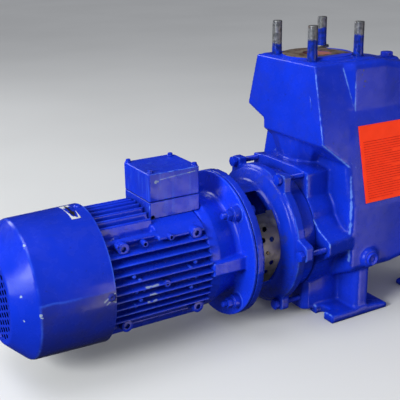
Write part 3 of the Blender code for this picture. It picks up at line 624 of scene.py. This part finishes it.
def rounded_profile(corners, radius):
    """The corners of an open profile, each inner one replaced by an arc."""
    steps = 5
    rounded = [Vector(corners[0])]
    for before, here, after in zip(corners, corners[1:], corners[2:]):
        before = Vector(before)
        here = Vector(here)
        after = Vector(after)
        reach = min(radius, (before - here).length * 0.45, (after - here).length * 0.45)
        start = here + (before - here).normalized() * reach
        end = here + (after - here).normalized() * reach
        for k in range(steps + 1):
            t = k / steps
            rounded.append(start * (1 - t) ** 2 + here * 2 * t * (1 - t) + end * t ** 2)
    rounded.append(Vector(corners[-1]))
    return [tuple(p) for p in rounded]


# Places of painted highlight lines, chips and scratches, read off the photograph


def strokes_at(*lines):
    """Segments for Graph.strokes from lines of the shaft frame: (half width, point, point, ...) each."""
    segments = []
    for width, *points in lines:
        segments += [(place(*a), place(*b), width) for a, b in zip(points, points[1:])]
    return segments


def spots_at(*spots):
    """Places for Graph.spots from spots of the shaft frame: (x, y, z, radius) each."""
    return [(place(x, y, z), radius) for x, y, z, radius in spots]


COWL_CHIPS = spots_at(
    (-0.3449, -0.0576, 0.0900, 0.0026), (-0.3455, -0.0600, 0.0855, 0.0020),
    (-0.3451, -0.1071, 0.0020, 0.0026), (-0.3440, -0.1075, -0.0020, 0.0020),
    (-0.3641, -0.0850, 0.0270, 0.0022), (-0.3641, -0.0887, -0.0083, 0.0018),
)
COWL_SCRATCHES = strokes_at(
    (0.0016, (-0.2500, -0.1098, -0.0010), (-0.2420, -0.1098, 0.0060), (-0.2335, -0.1100, 0.0090)),
    (0.0014, (-0.2470, -0.1098, -0.0060), (-0.2400, -0.1098, -0.0005), (-0.2330, -0.1100, -0.0050)),
)
LID_CHIPS = spots_at(
    (-0.1277, -0.0434, 0.1416, 0.0026), (-0.1245, -0.0434, 0.1420, 0.0018),
    (-0.0675, -0.0434, 0.1474, 0.0014),
)
# Painted highlight lines along the lid's edges.
LID_HIGHLIGHT_LINES = strokes_at(
    (0.0012, (-0.1200, -0.0434, 0.1440), (-0.0950, -0.0434, 0.1460), (-0.0560, -0.0434, 0.1478)),
    (0.0012, (-0.1380, -0.0434, 0.1545), (-0.0520, -0.0434, 0.1545)),
    (0.0010, (-0.1398, -0.0430, 0.1500), (-0.1398, -0.0430, 0.1110)),
)
LID_SCRATCHES = strokes_at(
    (0.0012, (-0.0720, -0.0434, 0.1472), (-0.0590, -0.0434, 0.1480)),
    (0.0010, (-0.1190, -0.0434, 0.1440), (-0.1100, -0.0434, 0.1447)),
    (0.0009, (-0.1040, -0.0434, 0.1452), (-0.0920, -0.0434, 0.1461)),
)
# Painted highlight line along the box's edge.
BOX_HIGHLIGHT_LINES = strokes_at(
    (0.0012, (-0.1398, -0.0430, 0.1090), (-0.1398, -0.0430, 0.0840)),
)
MOTOR_SCRATCHES = strokes_at(
    (0.0030, (-0.1787, -0.1015, 0.0012), (-0.1700, -0.1020, 0.0024), (-0.1602, -0.1015, 0.0014)),
    (0.0028, (-0.1720, -0.1010, -0.0120), (-0.1620, -0.1010, -0.0140)),
    (0.0030, (-0.1740, -0.0985, -0.0245), (-0.1691, -0.0975, -0.0285), (-0.1620, -0.0985, -0.0245)),
)
SHIELD_SCRATCHES = strokes_at(
    (0.0010, (-0.0300, -0.0905, 0.0240), (-0.0290, -0.0915, 0.0130)),
)
# Painted highlight lines along the casing's and feet's edges.
CASING_HIGHLIGHT_LINES = strokes_at(
    (0.0022, (0.1420, -0.0815, 0.2920), (0.1420, -0.1066, 0.1765)),
    (0.0022, (0.1420, -0.1055, 0.1735), (0.2050, -0.1180, 0.1205)),
    (0.0018, (0.1470, -0.1080, 0.1800), (0.2050, -0.1195, 0.1290)),
    (0.0018, (0.1985, -0.0835, 0.2880), (0.2140, -0.0970, 0.2185)),
    (0.0018, (0.2155, -0.0960, 0.2850), (0.2150, -0.0978, 0.2190)),
    (0.0030, (0.1870, -0.0340, 0.1225), (0.1870, -0.0640, 0.1200), (0.1870, -0.0750, 0.1170),
     (0.1870, -0.0720, 0.0700), (0.1870, -0.0870, 0.0430), (0.1870, -0.0950, 0.0330)),
    (0.0028, (0.1800, 0.0745, 0.1220), (0.1640, 0.0405, 0.1225), (0.1560, 0.0150, 0.1225)),
    (0.0028, (0.1350, -0.0985, 0.0440), (0.1350, -0.1154, 0.0287), (0.1350, -0.1410, 0.0170),
     (0.1350, -0.1430, 0.0100)),
    (0.0028, (0.1350, -0.0790, 0.1150), (0.1350, -0.0800, 0.0790)),
    (0.0026, (0.1700, -0.1320, -0.1255), (0.1575, -0.1320, -0.1255), (0.1575, -0.1080, -0.1255),
     (0.1575, -0.1080, -0.1360)),
    (0.0026, (0.1575, -0.0850, -0.1255), (0.1575, -0.0660, -0.1255), (0.1575, -0.0660, -0.1350)),
    (0.0026, (0.2060, -0.1250, -0.0450), (0.2070, -0.1250, -0.1150)),
    (0.0030, (0.1920, -0.1215, 0.1150), (0.1880, -0.1300, 0.0640), (0.1880, -0.1300, -0.0300)),
)
CASING_CHIPS = spots_at(
    (0.2310, -0.0950, 0.2840, 0.0020), (0.2290, -0.0950, 0.2760, 0.0016),
    (0.2350, -0.0955, 0.2650, 0.0022), (0.2330, -0.0960, 0.2570, 0.0018),
)

# Materials

# tone makes the one blue enamel lighter on the motor, shield and fasteners and darker on the cowl and
# grille: painted light and shade.
MOTOR = enamel("motor_enamel_paint", 0.12, scratches=MOTOR_SCRATCHES, hollow_shade=0.25, edge=0.35, tone=1.1)
# The box and lid carry strong grey-blue patches that stand for painted sheen.
BOX = enamel("box_enamel_paint", 0.14, highlight_lines=BOX_HIGHLIGHT_LINES, dull_and_sheen=0.60, edge=0.0, brushed=0.30)
LID = enamel("lid_enamel_paint", 0.14, chips=LID_CHIPS, highlight_lines=LID_HIGHLIGHT_LINES, scratches=LID_SCRATCHES,
             dull_and_sheen=0.60, edge=0.0, brushed=0.30)
SHIELD = enamel("shield_enamel_paint", 0.14, scratches=SHIELD_SCRATCHES, hollow_shade=0.20, tone=1.3)
# The cowl's rings are painted highlight lines at its rim and crease; its lower body a painted reflection.
COWL = enamel("cowl_enamel_paint", 0.08, chips=COWL_CHIPS, scratches=COWL_SCRATCHES, dull_and_sheen=0.10,
              sheen_below=0.155, edge=0.0, tone=0.85,
              rings=((-0.2322, 0.0016, 0.45), (-0.3445, 0.0018, 0.32)))
GRILLE = enamel("grille_enamel_paint", 0.08, dull_and_sheen=0.60, edge=0.0, hollow_shade=0.10, tone=0.9)
# The bracket's ring is a painted highlight line along its ear plate's edge.
PUMP = enamel("pump_enamel_paint", 0.22, edge=0.65, dirt=0.45, hollow_shade=0.35,
              rings=((0.0898, 0.0016, 0.55),))
FASTENER = enamel("fastener_enamel_paint", 0.12, edge=0.0, hollow_shade=0.50, tone=1.1)
CASING = enamel("casing_enamel_paint", 0.22, chips=CASING_CHIPS, highlight_lines=CASING_HIGHLIGHT_LINES, edge=0.22,
                dirt=0.12, bare=STAIN, hollow_shade=0.45)
# Bosses: strong painted shade in their blind holes.
BOSS = enamel("boss_enamel_paint", 0.10, edge=0.0, hollow_shade=0.90)
STEEL = steel("bare_steel_metal", (0.42, 0.41, 0.39))
STAINLESS = steel("guard_sheet_metal", (0.33, 0.325, 0.325), 0.46, (0.16, 0.15, 0.13), 0.30)
BRASS = steel("brass_metal", (0.75, 0.58, 0.26), 0.30, (0.30, 0.20, 0.08), 0.3)
BLACK = plain("black_plastic_moulding", (0.020, 0.020, 0.022), 0.5)
PRIMER = plain("red_primer", (0.300, 0.110, 0.100), 0.7, grain=0.3, gloss=0.3)
# The label film and ink shine by emission, as painted light.
ORANGE = plain("label_film", (0.960, 0.046, 0.008), 0.60, grain=0.15, variation=0.08, gloss=0.25,
               painted_glow=0.28)
ORANGE_INK = plain("label_ink", (0.620, 0.020, 0.006), 0.65, gloss=0.25, painted_glow=0.24)
WHITE_FILM = plain("strip_film", (0.66, 0.67, 0.68), 0.40)
BLACK_INK = plain("strip_ink", (0.008, 0.008, 0.010), 0.55)
FACE = machined_face()
GASKET = plain("gasket_rubber", (0.004, 0.008, 0.060), 0.6)
# A dark blue sheet put inside the cowl, where there is only shade: painted shade.
SHADE_LINING = plain("cowl_inside_shade", (0.0015, 0.0050, 0.0500), 0.6, gloss=0.2)

for node, material in (("cooling_fan", BLACK), ("fan_shaft", STEEL), ("pump_shaft", STEEL)):
    NODES[node].material_slots[0].material = material


# Castings and rounded nodes

for node, quick_voxel, voxel, rounds, material, slot in (
    ("pump_casing", 0.0042, 0.0025, 3, CASING, "pump_enamel"),
    ("adapter_bracket", 0.0030, 0.0020, 2, PUMP, "pump_enamel"),
    ("drive_end_shield", 0.0026, 0.0018, 2, SHIELD, "motor_enamel"),
    ("motor_frame", 0.0026, 0.0018, 2, MOTOR, "motor_enamel"),
):
    casting(node, voxel, rounds, material)

bevelled("terminal_box_base", 0.0012, BOX)
bevelled("terminal_box_lid", 0.0024, LID)
bevelled("rear_end_shield", 0.0015, BOX)
bevelled("front_cover", 0.0015, FASTENER)
bevelled("seal_plate", 0.0012, FASTENER)
for node in ("guard_near", "guard_far"):
    bevelled(node, 0.0003, STAINLESS, 2)


# Fan cowl and grille

OPENING_RADIUS = 0.0690

outside = rounded_profile(((COWL_FRONT_X, COWL_FRONT_RADIUS), (COWL_CORNER_X, COWL_CORNER_RADIUS),
                           (COWL_END_X, COWL_END_RADIUS), (COWL_END_X, OPENING_RADIUS)), 0.0042)
inside = rounded_profile(((COWL_END_X + COWL_WALL, OPENING_RADIUS),
                          (COWL_END_X + COWL_WALL, COWL_END_RADIUS - 0.0010),
                          (COWL_CORNER_X + 0.0010, COWL_CORNER_RADIUS - COWL_WALL),
                          (COWL_FRONT_X, COWL_FRONT_RADIUS - COWL_WALL)), 0.0030)
turned_shell("fan_cowl_sheet", outside + inside, 160, COWL, "motor_enamel", ("fan_cowl",), sharp=60.0)
# A dark lining inside the cowl stands for the shade behind the grille.
turned_shell("cowl_shade_lining", ((-0.3755, 0.0740), (-0.3436, 0.1050), (-0.2400, 0.1075), (-0.2400, 0.1065),
                             (-0.3432, 0.1040), (-0.3755, 0.0730)), 96, SHADE_LINING, "motor_enamel")


def honeycomb():
    """The perforated end of the cowl: a sheet with upright, staggered rows of six-sided holes."""
    pitch = 0.0118
    row_step = 0.0128
    cell = (row_step / 1.5, pitch / math.sqrt(3))
    hole = (0.0058, 0.0047)
    reach = 0.0715
    border = 0.0748
    thickness = 0.0005
    sheet_x = COWL_END_X + COWL_WALL + 0.0002
    rows = int(reach / pitch) + 1
    shape = bmesh.new()
    for row in range(-rows, rows + 1):
        for rung in range(-rows, rows + 1):
            y = row * row_step
            z = (rung + 0.5 * (row % 2)) * pitch
            if math.hypot(y, z) > reach:
                continue
            rings = []
            for across, up in (cell, hole):
                corners = [Vector((y + across * math.cos(TAU * k / 6), z + up * math.sin(TAU * k / 6), 0))
                           for k in range(6)]
                rings.append([shape.verts.new(c * min(1.0, border / c.length)) for c in corners])
            outer_ring, inner_ring = rings
            for k in range(6):
                m = (k + 1) % 6
                shape.faces.new((outer_ring[k], outer_ring[m], inner_ring[m], inner_ring[k]))
    bmesh.ops.remove_doubles(shape, verts=shape.verts, dist=pitch * 0.02)
    for v in shape.verts:
        v.co = place(sheet_x, v.co.x, v.co.y)
    mesh = bpy.data.meshes.new("grille_sheet")
    shape.to_mesh(mesh)
    shape.free()
    mesh = evaluated("grille", mesh, ("SOLIDIFY", {"thickness": thickness, "offset": 0.0}))
    piece_of("grille_mesh", mesh, GRILLE, ("fan_grille",))
    turned_shell("grille_rim", ((-0.3766, 0.0680), (-0.3766, 0.0738), (-0.3748, 0.0738), (-0.3748, 0.0680)),
                 96, GRILLE, "motor_enamel")


honeycomb()


# Fasteners

HEAD_HEIGHT = 0.0080
HEAD_CORNER = 0.0095


def bolt(node, steps, slot, twist):
    """A bolt along the shaft in the place of its plain CAD solid."""
    lathe(node + "_hex", steps, end_of(node, 0), (1, 0, 0), FASTENER, slot, (node,), twist=twist)


def flange_bolt_steps():
    """The thread's end, nut, washer, thick collar, shank and head, seen from the motor's side."""
    nut = 0.0080
    washer = 0.0170
    washer_radius = 0.0106
    collar = 0.0188
    collar_radius = 0.0120
    shank = 0.0307
    head = 0.0503
    steps = [(0.0, BOLT_RADIUS * 0.8)]
    steps += thread_steps(0.0008, nut, 0.0053, 0.0016)
    steps += hex_steps(nut, washer - nut, 0.0092, up=False)
    steps += [(washer, washer_radius), (collar, washer_radius), (collar, 0.0112),
              (collar + 0.0008, collar_radius), (shank, collar_radius), (shank, BOLT_RADIUS),
              (head, BOLT_RADIUS)]
    return steps + hex_steps(head, 0.0090, HEAD_CORNER)


spot_face = [(0.0, 0.0155), (0.0006, 0.0155), (0.0011, 0.0150), (0.0011, 0.0124)]
for i in range(4):
    node = f"flange_bolt_{i + 1}"
    bolt(node, flange_bolt_steps(), "motor_enamel", 0.35 * i)
    on_flange = end_of(node, 0)
    on_flange.x = place(0.0002, 0, 0).x
    lathe(f"spot_face_{i + 1}", spot_face, on_flange, (-1, 0, 0), SHIELD, "motor_enamel")
for i in range(6):
    steps = hex_steps(0.0, HEAD_HEIGHT, HEAD_CORNER, up=False)
    steps += [(HEAD_HEIGHT, BOLT_RADIUS), (0.0235, BOLT_RADIUS)]
    steps += thread_steps(0.0250, 0.0550, BOLT_RADIUS, 0.0015)
    bolt(f"bracket_bolt_{i + 1}", steps, "pump_enamel", 0.4 * i)
for i in range(4):
    bolt(f"cover_bolt_{i + 1}", hex_steps(0.0, HEAD_HEIGHT, HEAD_CORNER), "pump_enamel", 0.3 * i)

fill = [(0.0, 0.0124), (0.0012, 0.0124), (0.0015, 0.0118)] + hex_steps(0.0015, 0.0070, 0.0113)
lathe("fill_plug_hex", fill, end_of("fill_plug", 2), (0, 0, 1), FASTENER, "pump_enamel", ("fill_plug",))
drain = [(0.0, 0.0118), (0.0022, 0.0116), (0.0036, 0.0108), (0.0040, 0.0098),
         (0.0034, 0.0086), (0.0030, 0.0050), (0.0012, 0.0046)]
lathe("drain_plug_disc", drain, end_of("drain_plug", 1, far=True), (0, -1, 0), FASTENER, "pump_enamel",
      ("drain_plug",))
entry = [(0.0, 0.0098), (0.0131, 0.0098)] + hex_steps(0.0131, 0.0068, 0.0135)
entry += [(0.0199, 0.0092), (0.0188, 0.0088)]
lathe("cable_entry_plug_hex", entry, end_of("cable_entry_plug", 1), (0, 1, 0), BLACK, "black_plastic",
      ("cable_entry_plug",))
washer = [(0.0, 0.0128), (0.0008, 0.0130), (0.0030, 0.0130), (0.0038, 0.0124),
          (0.0038, 0.0090)]
lathe("stud_washer_ring", washer, end_of("stud_washer", 2), (0, 0, 1), STEEL, "bare_steel", ("stud_washer",))


def stud(node, axis, material, lead):
    """A stud for a plain CAD rod: a plain lead, a real helical thread and a chamfered end."""
    segments = 20
    rows_per_turn = 4
    pitch = 0.0020
    depth = pitch * 0.30
    chamfer = 0.0012
    low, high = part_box(node)
    length = high[axis] - low[axis]
    along = Vector((0, 0, 0))
    along[axis] = 1.0
    place_at = frame_along(end_of(node, axis), along)
    rows = int(length / pitch * rows_per_turn)
    rings = []
    for r in range(rows + 1):
        height = length * r / rows
        fade = min(1.0, max(0.0, (height - lead) / (2 * pitch)))
        end_reach = STUD_RADIUS - max(0.0, height - (length - chamfer))
        ring = []
        for i in range(segments):
            angle = TAU * i / segments
            phase = (height / pitch - i / segments) % 1.0
            reach = min(STUD_RADIUS - depth * abs(2 * phase - 1) * fade, end_reach)
            ring.append(place_at @ Vector((reach * math.cos(angle), reach * math.sin(angle), height)))
        rings.append(ring)
    piece_from(node + "_thread", *rings_to_mesh(rings), material, "bare_steel", (node,), sharp=50.0)


for i, paint_top in enumerate((0.3340, 0.3355, 0.3178, 0.3385)):
    stud(f"discharge_stud_{i + 1}", 2, half_painted(f"stud_{i + 1}_steel", paint_top + SHAFT_HEIGHT), 0.010)
for i in range(4):
    stud(f"suction_stud_{i + 1}", 0, STEEL, 0.006)


# Joint face and bores


def disc_helper(name, radius, base, length):
    """A plain disc for boolean work, which is removed afterwards."""
    segments = 96
    rings = [[base + p for p in circle(radius, height, segments)] for height in (0.0, length)]
    points, faces = rings_to_mesh(rings)
    mesh = bpy.data.meshes.new(name)
    mesh.from_pydata([tuple(p) for p in points], [], faces)
    return add_object(name, mesh)


def joint_face():
    """The thin machined skin on the raised round face, with its bore left open."""
    thickness = 0.0010
    top = PORT_FACE_Z + 0.0002
    cut_start = 0.25
    cut_length = 0.10
    disc = disc_helper("face_disc", RAISED_FACE_RADIUS - 0.0004, place(DISCHARGE_X, 0, top - thickness),
                       thickness)
    bore = disc_helper("bore_cut", DISCHARGE_BORE_RADIUS, place(DISCHARGE_X, 0, cut_start), cut_length)
    cutting = ("BOOLEAN", {"object": bore, "operation": "DIFFERENCE", "solver": "EXACT"})
    mesh = evaluated("joint_face", disc.data, cutting)
    for helper in (disc, bore):
        bpy.data.objects.remove(helper)
    piece_of("joint_face_skin", mesh, FACE)


joint_face()


def bore_wall(name, bore_radius, base, axis, depth):
    """The primed wall of a port, ending just under the port's face."""
    segments = 64
    half_wall = 0.0006
    place_at = frame_along(base, axis)
    length = depth - 0.0012
    outer = bore_radius + half_wall
    inner = bore_radius - half_wall
    rings = [[place_at @ p for p in circle(radius, height, segments)]
             for height, radius in ((0.0, outer), (0.0, inner), (length, inner), (length, outer))]
    rings.append(rings[0])
    piece_from(name, *rings_to_mesh(rings, closed_ends=False), PRIMER, "pump_enamel")


bore_wall("discharge_bore_wall", DISCHARGE_BORE_RADIUS, place(DISCHARGE_X, 0, DISCHARGE_FLOOR_Z),
          (0, 0, 1), PORT_FACE_Z - DISCHARGE_FLOOR_Z)
bore_wall("suction_bore_wall", SUCTION_BORE_RADIUS, place(SUCTION_FLOOR_X, 0, SUCTION_Z),
          (1, 0, 0), SUCTION_FACE_X - SUCTION_FLOOR_X)


# Terminal box fittings and motor details

LID_TOP = 0.1553

for i, (x, y) in enumerate(((-0.1330, -0.0350), (-0.0560, -0.0370), (-0.1350, 0.0370), (-0.0610, 0.0330))):
    steps = [(-0.0006, 0.0052), (0.0012, 0.0052), (0.0018, 0.0046), (0.0018, 0.0040)]
    steps += hex_steps(0.0018, 0.0030, 0.0040)
    lathe(f"lid_screw_{i + 1}", steps, place(x, y, LID_TOP), (0, 0, 1), LID, "motor_enamel", twist=0.5 * i)
rounded_box("box_gasket", place(-0.1390, -0.0424, 0.1094), place(-0.0560, 0.0420, 0.1106), 0.0003, GASKET)
knock_out = [(0.0, 0.0034), (0.0006, 0.0034), (0.0008, 0.0030), (0.0002, 0.0024),
             (0.0002, 0.0010)]
lathe("box_side_hole", knock_out, place(-0.1350, -0.0432, 0.0856), (0, -1, 0), GASKET, "black_plastic")


def socket_boss(name, x, y, z, outer, bore, length):
    """A round foot boss with a blind hole, facing away from the shaft."""
    steps = [(0.0, outer), (length - 0.0012, outer), (length - 0.0003, outer - 0.0006),
             (length, outer - 0.0014), (length, bore + 0.0004), (length - 0.0006, bore),
             (length - 0.0080, bore)]
    lathe(name, steps, place(x, y, z), (0, math.copysign(1, y), 0), BOSS, "motor_enamel")


FOOT_BOSSES = ((-0.2050, 0.0620), (-0.0805, 0.0620), (-0.2050, -0.0632), (-0.0805, -0.0632))
RIB_BOSSES = ((-0.1690, 0.0625), (-0.1246, 0.0640), (-0.2120, 0.0660))
BOSS_ROOT = 0.0740
for side_name, side in SIDES:
    for i, (x, z) in enumerate(FOOT_BOSSES):
        socket_boss(f"foot_boss_{side_name}_{i + 1}", x, side * BOSS_ROOT, z, 0.0099, 0.0040, 0.0108)
    for i, (x, z) in enumerate(RIB_BOSSES):
        socket_boss(f"rib_boss_{side_name}_{i + 1}", x, side * BOSS_ROOT, z, 0.0052, 0.0024, 0.0110)
    socket_boss(f"drain_ring_{side_name}", -0.1430, side * 0.0930, -0.0010, 0.0060, 0.0024, 0.0098)

POST_LENGTH = 0.0140
POST_REACH = 0.1022
POST_PLACES = ((0.0060, 0.0215), (-0.0030, 0.0140), (-0.0075, -0.0012), (0.0045, -0.0018),
               (-0.0030, -0.0180), (0.0060, -0.0262))


def fin_posts(name, x_middle, side, lean):
    """Small cast posts between the fins, in an arc like a bracket sign."""
    steps = [(0.0, 0.0034), (0.0120, 0.0031), (0.0134, 0.0026), (POST_LENGTH, 0.0016)]
    for i, (shift, z) in enumerate(POST_PLACES):
        root = math.sqrt(POST_REACH ** 2 - z ** 2) - POST_LENGTH
        lathe(f"{name}_{i + 1}", steps, place(x_middle + lean * shift, side * root, z), (0, side, 0),
              MOTOR, "motor_enamel", segments=16)


for side_name, side in SIDES:
    fin_posts(f"fin_post_left_{side_name}", -0.1900, side, -1)
    fin_posts(f"fin_post_right_{side_name}", -0.0975, side, 1)


# Arrow strip on the cowl

SQUARE = ((0, 0), (1, 0), (1, 1), (0, 1))
ARROW = ((0.38, 0.95), (0.38, 0.36), (0.16, 0.36), (0.50, 0.06), (0.84, 0.36), (0.62, 0.36), (0.62, 0.95))


def cowl_radius(x):
    """Radius of the cowl's body, which narrows a little towards the fan end."""
    narrowing = (COWL_FRONT_RADIUS - COWL_CORNER_RADIUS) / (COWL_FRONT_X - COWL_CORNER_X)
    return COWL_FRONT_RADIUS - narrowing * (COWL_FRONT_X - x)


def cowl_patch(name, x_range, degree_range, lift, material, slot, outline=SQUARE):
    """A thin patch lying on the cowl; the outline runs in (x share, angle share) pairs."""
    steps = 8
    thickness = 0.0003
    dense = []
    for (a0, b0), (a1, b1) in zip(outline, outline[1:] + outline[:1]):
        for k in range(steps):
            t = k / steps
            dense.append((a0 + (a1 - a0) * t, b0 + (b1 - b0) * t))
    x_low, x_high = x_range
    low, high = degree_range
    rings = []
    for height in (lift - thickness, lift):
        ring = []
        for a, b in dense:
            x = x_low + (x_high - x_low) * a
            angle = math.radians(low + (high - low) * b)
            reach = cowl_radius(x) + height
            ring.append(place(x, -reach * math.cos(angle), reach * math.sin(angle)))
        rings.append(ring)
    piece_from(name, *rings_to_mesh(rings), material, slot)


cowl_patch("rotation_strip", (-0.2622, -0.2482), (72.5, 101.0), 0.0004, WHITE_FILM, "label_orange")
cowl_patch("rotation_arrow", (-0.2612, -0.2492), (74.0, 99.5), 0.0007, BLACK_INK, "black_plastic", ARROW)

cowl_screw = [(0.0, 0.0066), (0.0008, 0.0066), (0.0024, 0.0052), (0.0030, 0.0036),
              (0.0020, 0.0012)]
for i, degrees in enumerate((88.0, 178.0, 268.0, 358.0)):
    screw(f"cowl_screw_{i + 1}", cowl_screw, -0.2385, 0.1094, degrees, 20, COWL, "motor_enamel")


# Casting mark on the tower


def ridge(name, points, width, height, material, slot):
    """A low rounded rib on a face that looks along -X, through (y, z) points of the shaft frame."""
    face_x = 0.1418
    rings = []
    for i, (y, z) in enumerate(points):
        before = Vector(points[max(0, i - 1)])
        after = Vector(points[min(len(points) - 1, i + 1)])
        along = (after - before).normalized()
        taper = 0.35 if i in (0, len(points) - 1) else 1.0
        ring = []
        for side, rise in ((-1.0, -0.0006), (-0.5, 0.7), (0.0, 1.0), (0.5, 0.7), (1.0, -0.0006)):
            across = side * width / 2 * taper
            lift = rise * height * taper
            ring.append(place(face_x - lift, y - along.y * across, z + along.x * across))
        rings.append(ring)
    piece_from(name, *rings_to_mesh(rings), material, slot)


ridge("casting_mark", ((-0.0700, 0.2470), (-0.0728, 0.2420), (-0.0745, 0.2350), (-0.0750, 0.2280),
                       (-0.0745, 0.2220)), 0.0024, 0.0012, CASING, "pump_enamel")


# Bracket details

guard_screw = [(0.0, 0.0030), (0.0010, 0.0030), (0.0014, 0.0020), (0.0008, 0.0008)]
for side_name, degrees in (("near", 177.0), ("far", 3.0)):
    screw(f"guard_screw_{side_name}", guard_screw, 0.0445, 0.0966, degrees, 16, BRASS, "bare_steel")


# Side label, placed on the casing's leaning flank between two (y, z) points

FLANK_TOP = (-0.0980, 0.2210)
FLANK_FOOT = (-0.1340, 0.0600)
LABEL_X = 0.2170
LABEL_DROP = 0.0280
LABEL_WIDTH = 0.1050
LABEL_HEIGHT = 0.1290
LINE_START = 0.0060
LINE_END = 0.0990
LINE_TOP = 0.0270
LINE_STEP = 0.0041
LINE_HEIGHT = 0.0013


def label_corner():
    """The label's upper left corner, and the ways down the flank and out of it."""
    rise = FLANK_TOP[1] - FLANK_FOOT[1]
    run = FLANK_TOP[0] - FLANK_FOOT[0]
    length = math.hypot(rise, run)
    down = Vector((0, -run / length, -rise / length))
    outward = Vector((0, -rise / length, run / length))
    return place(LABEL_X, *FLANK_TOP) + down * LABEL_DROP, down, outward


def label_sheet():
    """The film itself, with faint waves where it lies over the rough casting."""
    corner, down, outward = label_corner()
    columns = 42
    rows = 52
    wave_height = 0.00018
    points = []
    for lift in (0.0004, 0.0012):
        for r in range(rows + 1):
            for c in range(columns + 1):
                x = LABEL_WIDTH * c / columns
                d = LABEL_HEIGHT * r / rows
                wave = wave_height * math.sin(x * 210 + d * 60) * math.sin(d * 170)
                points.append(corner + Vector((x, 0, 0)) + down * d + outward * (lift + wave))
    faces = []
    sheet = (columns + 1) * (rows + 1)
    for side in (0, 1):
        for r in range(rows):
            for c in range(columns):
                a = side * sheet + r * (columns + 1) + c
                faces.append((a, a + 1, a + columns + 2, a + columns + 1))
    border = [r * (columns + 1) for r in range(rows + 1)]
    border += [rows * (columns + 1) + c for c in range(1, columns + 1)]
    border += [r * (columns + 1) + columns for r in range(rows - 1, -1, -1)]
    border += list(range(columns - 1, 0, -1))
    for a, b in zip(border, border[1:] + border[:1]):
        faces.append((a, b, b + sheet, a + sheet))
    piece_from("label_sheet", points, faces, ORANGE, "label_orange", ("side_label",), sharp=50.0)


def label_line(name, end, depth):
    """One plain line of print, from LINE_START across to an end, standing proud of the film."""
    corner, down, outward = label_corner()
    rings = []
    for lift in (0.0009, 0.0015):
        rings.append([corner + Vector((LINE_START + (end - LINE_START) * a, 0, 0))
                      + down * (depth + LINE_HEIGHT * b) + outward * lift for a, b in SQUARE])
    piece_from(name, *rings_to_mesh(rings), ORANGE_INK, "label_orange")


label_sheet()
rng = random.Random(7)
for row in range(24):
    ends_paragraph = (row + 1) % 6 == 0
    end = 0.0600 + rng.random() * 0.02 if ends_paragraph else LINE_END
    label_line(f"label_line_{row + 1}", end - rng.random() * 0.006, LINE_TOP + row * LINE_STEP)


# Floor and light


def make_floor():
    """A plain pale floor that stays out of the paint's reflections and throws no light up."""
    half = 30
    mesh = bpy.data.meshes.new("floor")
    mesh.from_pydata([(-half, -half, 0), (half, -half, 0), (half, half, 0), (-half, half, 0)], [],
                     [(0, 1, 2, 3)])
    floor = add_object("floor", mesh)
    paint = Graph("floor_paint")
    cloud = paint.ramp(paint.noise(1.5, 2.0), 0.3, 0.7)
    paint.set(base_color=paint.mix(cloud, (0.72, 0.715, 0.71), (0.75, 0.745, 0.74)), roughness=0.75)
    mesh.materials.append(paint.material)
    floor.visible_glossy = False
    floor.visible_diffuse = False


make_floor()


def area_light(name, spot, target, size, power, colour, height=None, mirrored=True):
    """A soft light: a disc, or a rectangle when it gets a height too."""
    data = bpy.data.lights.new(name, "AREA")
    data.shape = "RECTANGLE" if height else "DISK"
    data.size = size
    if height:
        data.size_y = height
    data.energy = power
    data.color = colour
    light = add_object(name, data)
    direction = Vector(target) - Vector(spot)
    light.matrix_world = Matrix.Translation(spot) @ direction.to_track_quat("-Z", "Y").to_matrix().to_4x4()
    light.visible_camera = False
    light.visible_glossy = mirrored


area_light("key", (-2.35, -0.8, 1.2), (0.0, 0.0, 0.2), 1.0, 60.0, (0.98, 1.0, 0.99), mirrored=False)
area_light("key_glint", (-2.3, -0.7, 1.15), (0.0, 0.0, 0.2), 0.9, 9.0, (0.95, 1.0, 0.98))
area_light("left_card", (-2.4, -0.5, 0.55), (-0.4, 0.0, 0.2), 0.8, 4.0, (0.85, 1.0, 0.96))
area_light("overhead", (-0.9, 0.1, 2.5), (0.0, 0.0, 0.2), 1.4, 14.0, (0.97, 0.99, 1.0))
area_light("rear_card", (-0.9, 2.3, 1.5), (0.0, 0.0, 0.2), 1.0, 10.0, (0.95, 0.98, 1.0))
area_light("front_card", (0.85, -2.35, -0.575), (0.85, 0.0, -0.575), 1.0, 13.0, (1.0, 0.86, 0.84), 1.65)
area_light("right_card", (1.85, -2.35, -0.40), (1.85, 0.0, -0.40), 1.0, 7.0, (1.0, 0.86, 0.84), 2.0)


def studio_world():
    """Even light from above, little from under the floor, and a dim room in the reflections."""
    world = bpy.data.worlds.new("studio")
    world.use_nodes = True
    tree = world.node_tree
    background = tree.nodes["Background"]
    background.inputs["Color"].default_value = (0.88, 0.91, 0.96, 1.0)
    coords = tree.nodes.new("ShaderNodeTexCoord")
    split = tree.nodes.new("ShaderNodeSeparateXYZ")
    tree.links.new(coords.outputs["Generated"], split.inputs[0])
    rise = tree.nodes.new("ShaderNodeMapRange")
    tree.links.new(split.outputs[2], rise.inputs["Value"])
    for key, number in (("From Min", -0.25), ("From Max", 0.15), ("To Min", 0.10), ("To Max", 0.50)):
        rise.inputs[key].default_value = number
    path = tree.nodes.new("ShaderNodeLightPath")
    choose = tree.nodes.new("ShaderNodeMix")
    tree.links.new(path.outputs["Is Glossy Ray"], choose.inputs[0])
    tree.links.new(rise.outputs["Result"], choose.inputs[2])
    choose.inputs[3].default_value = 0.03
    tree.links.new(choose.outputs[0], background.inputs["Strength"])
    return world


bpy.context.scene.world = studio_world()
bpy.context.scene.view_settings.view_transform = "Standard"
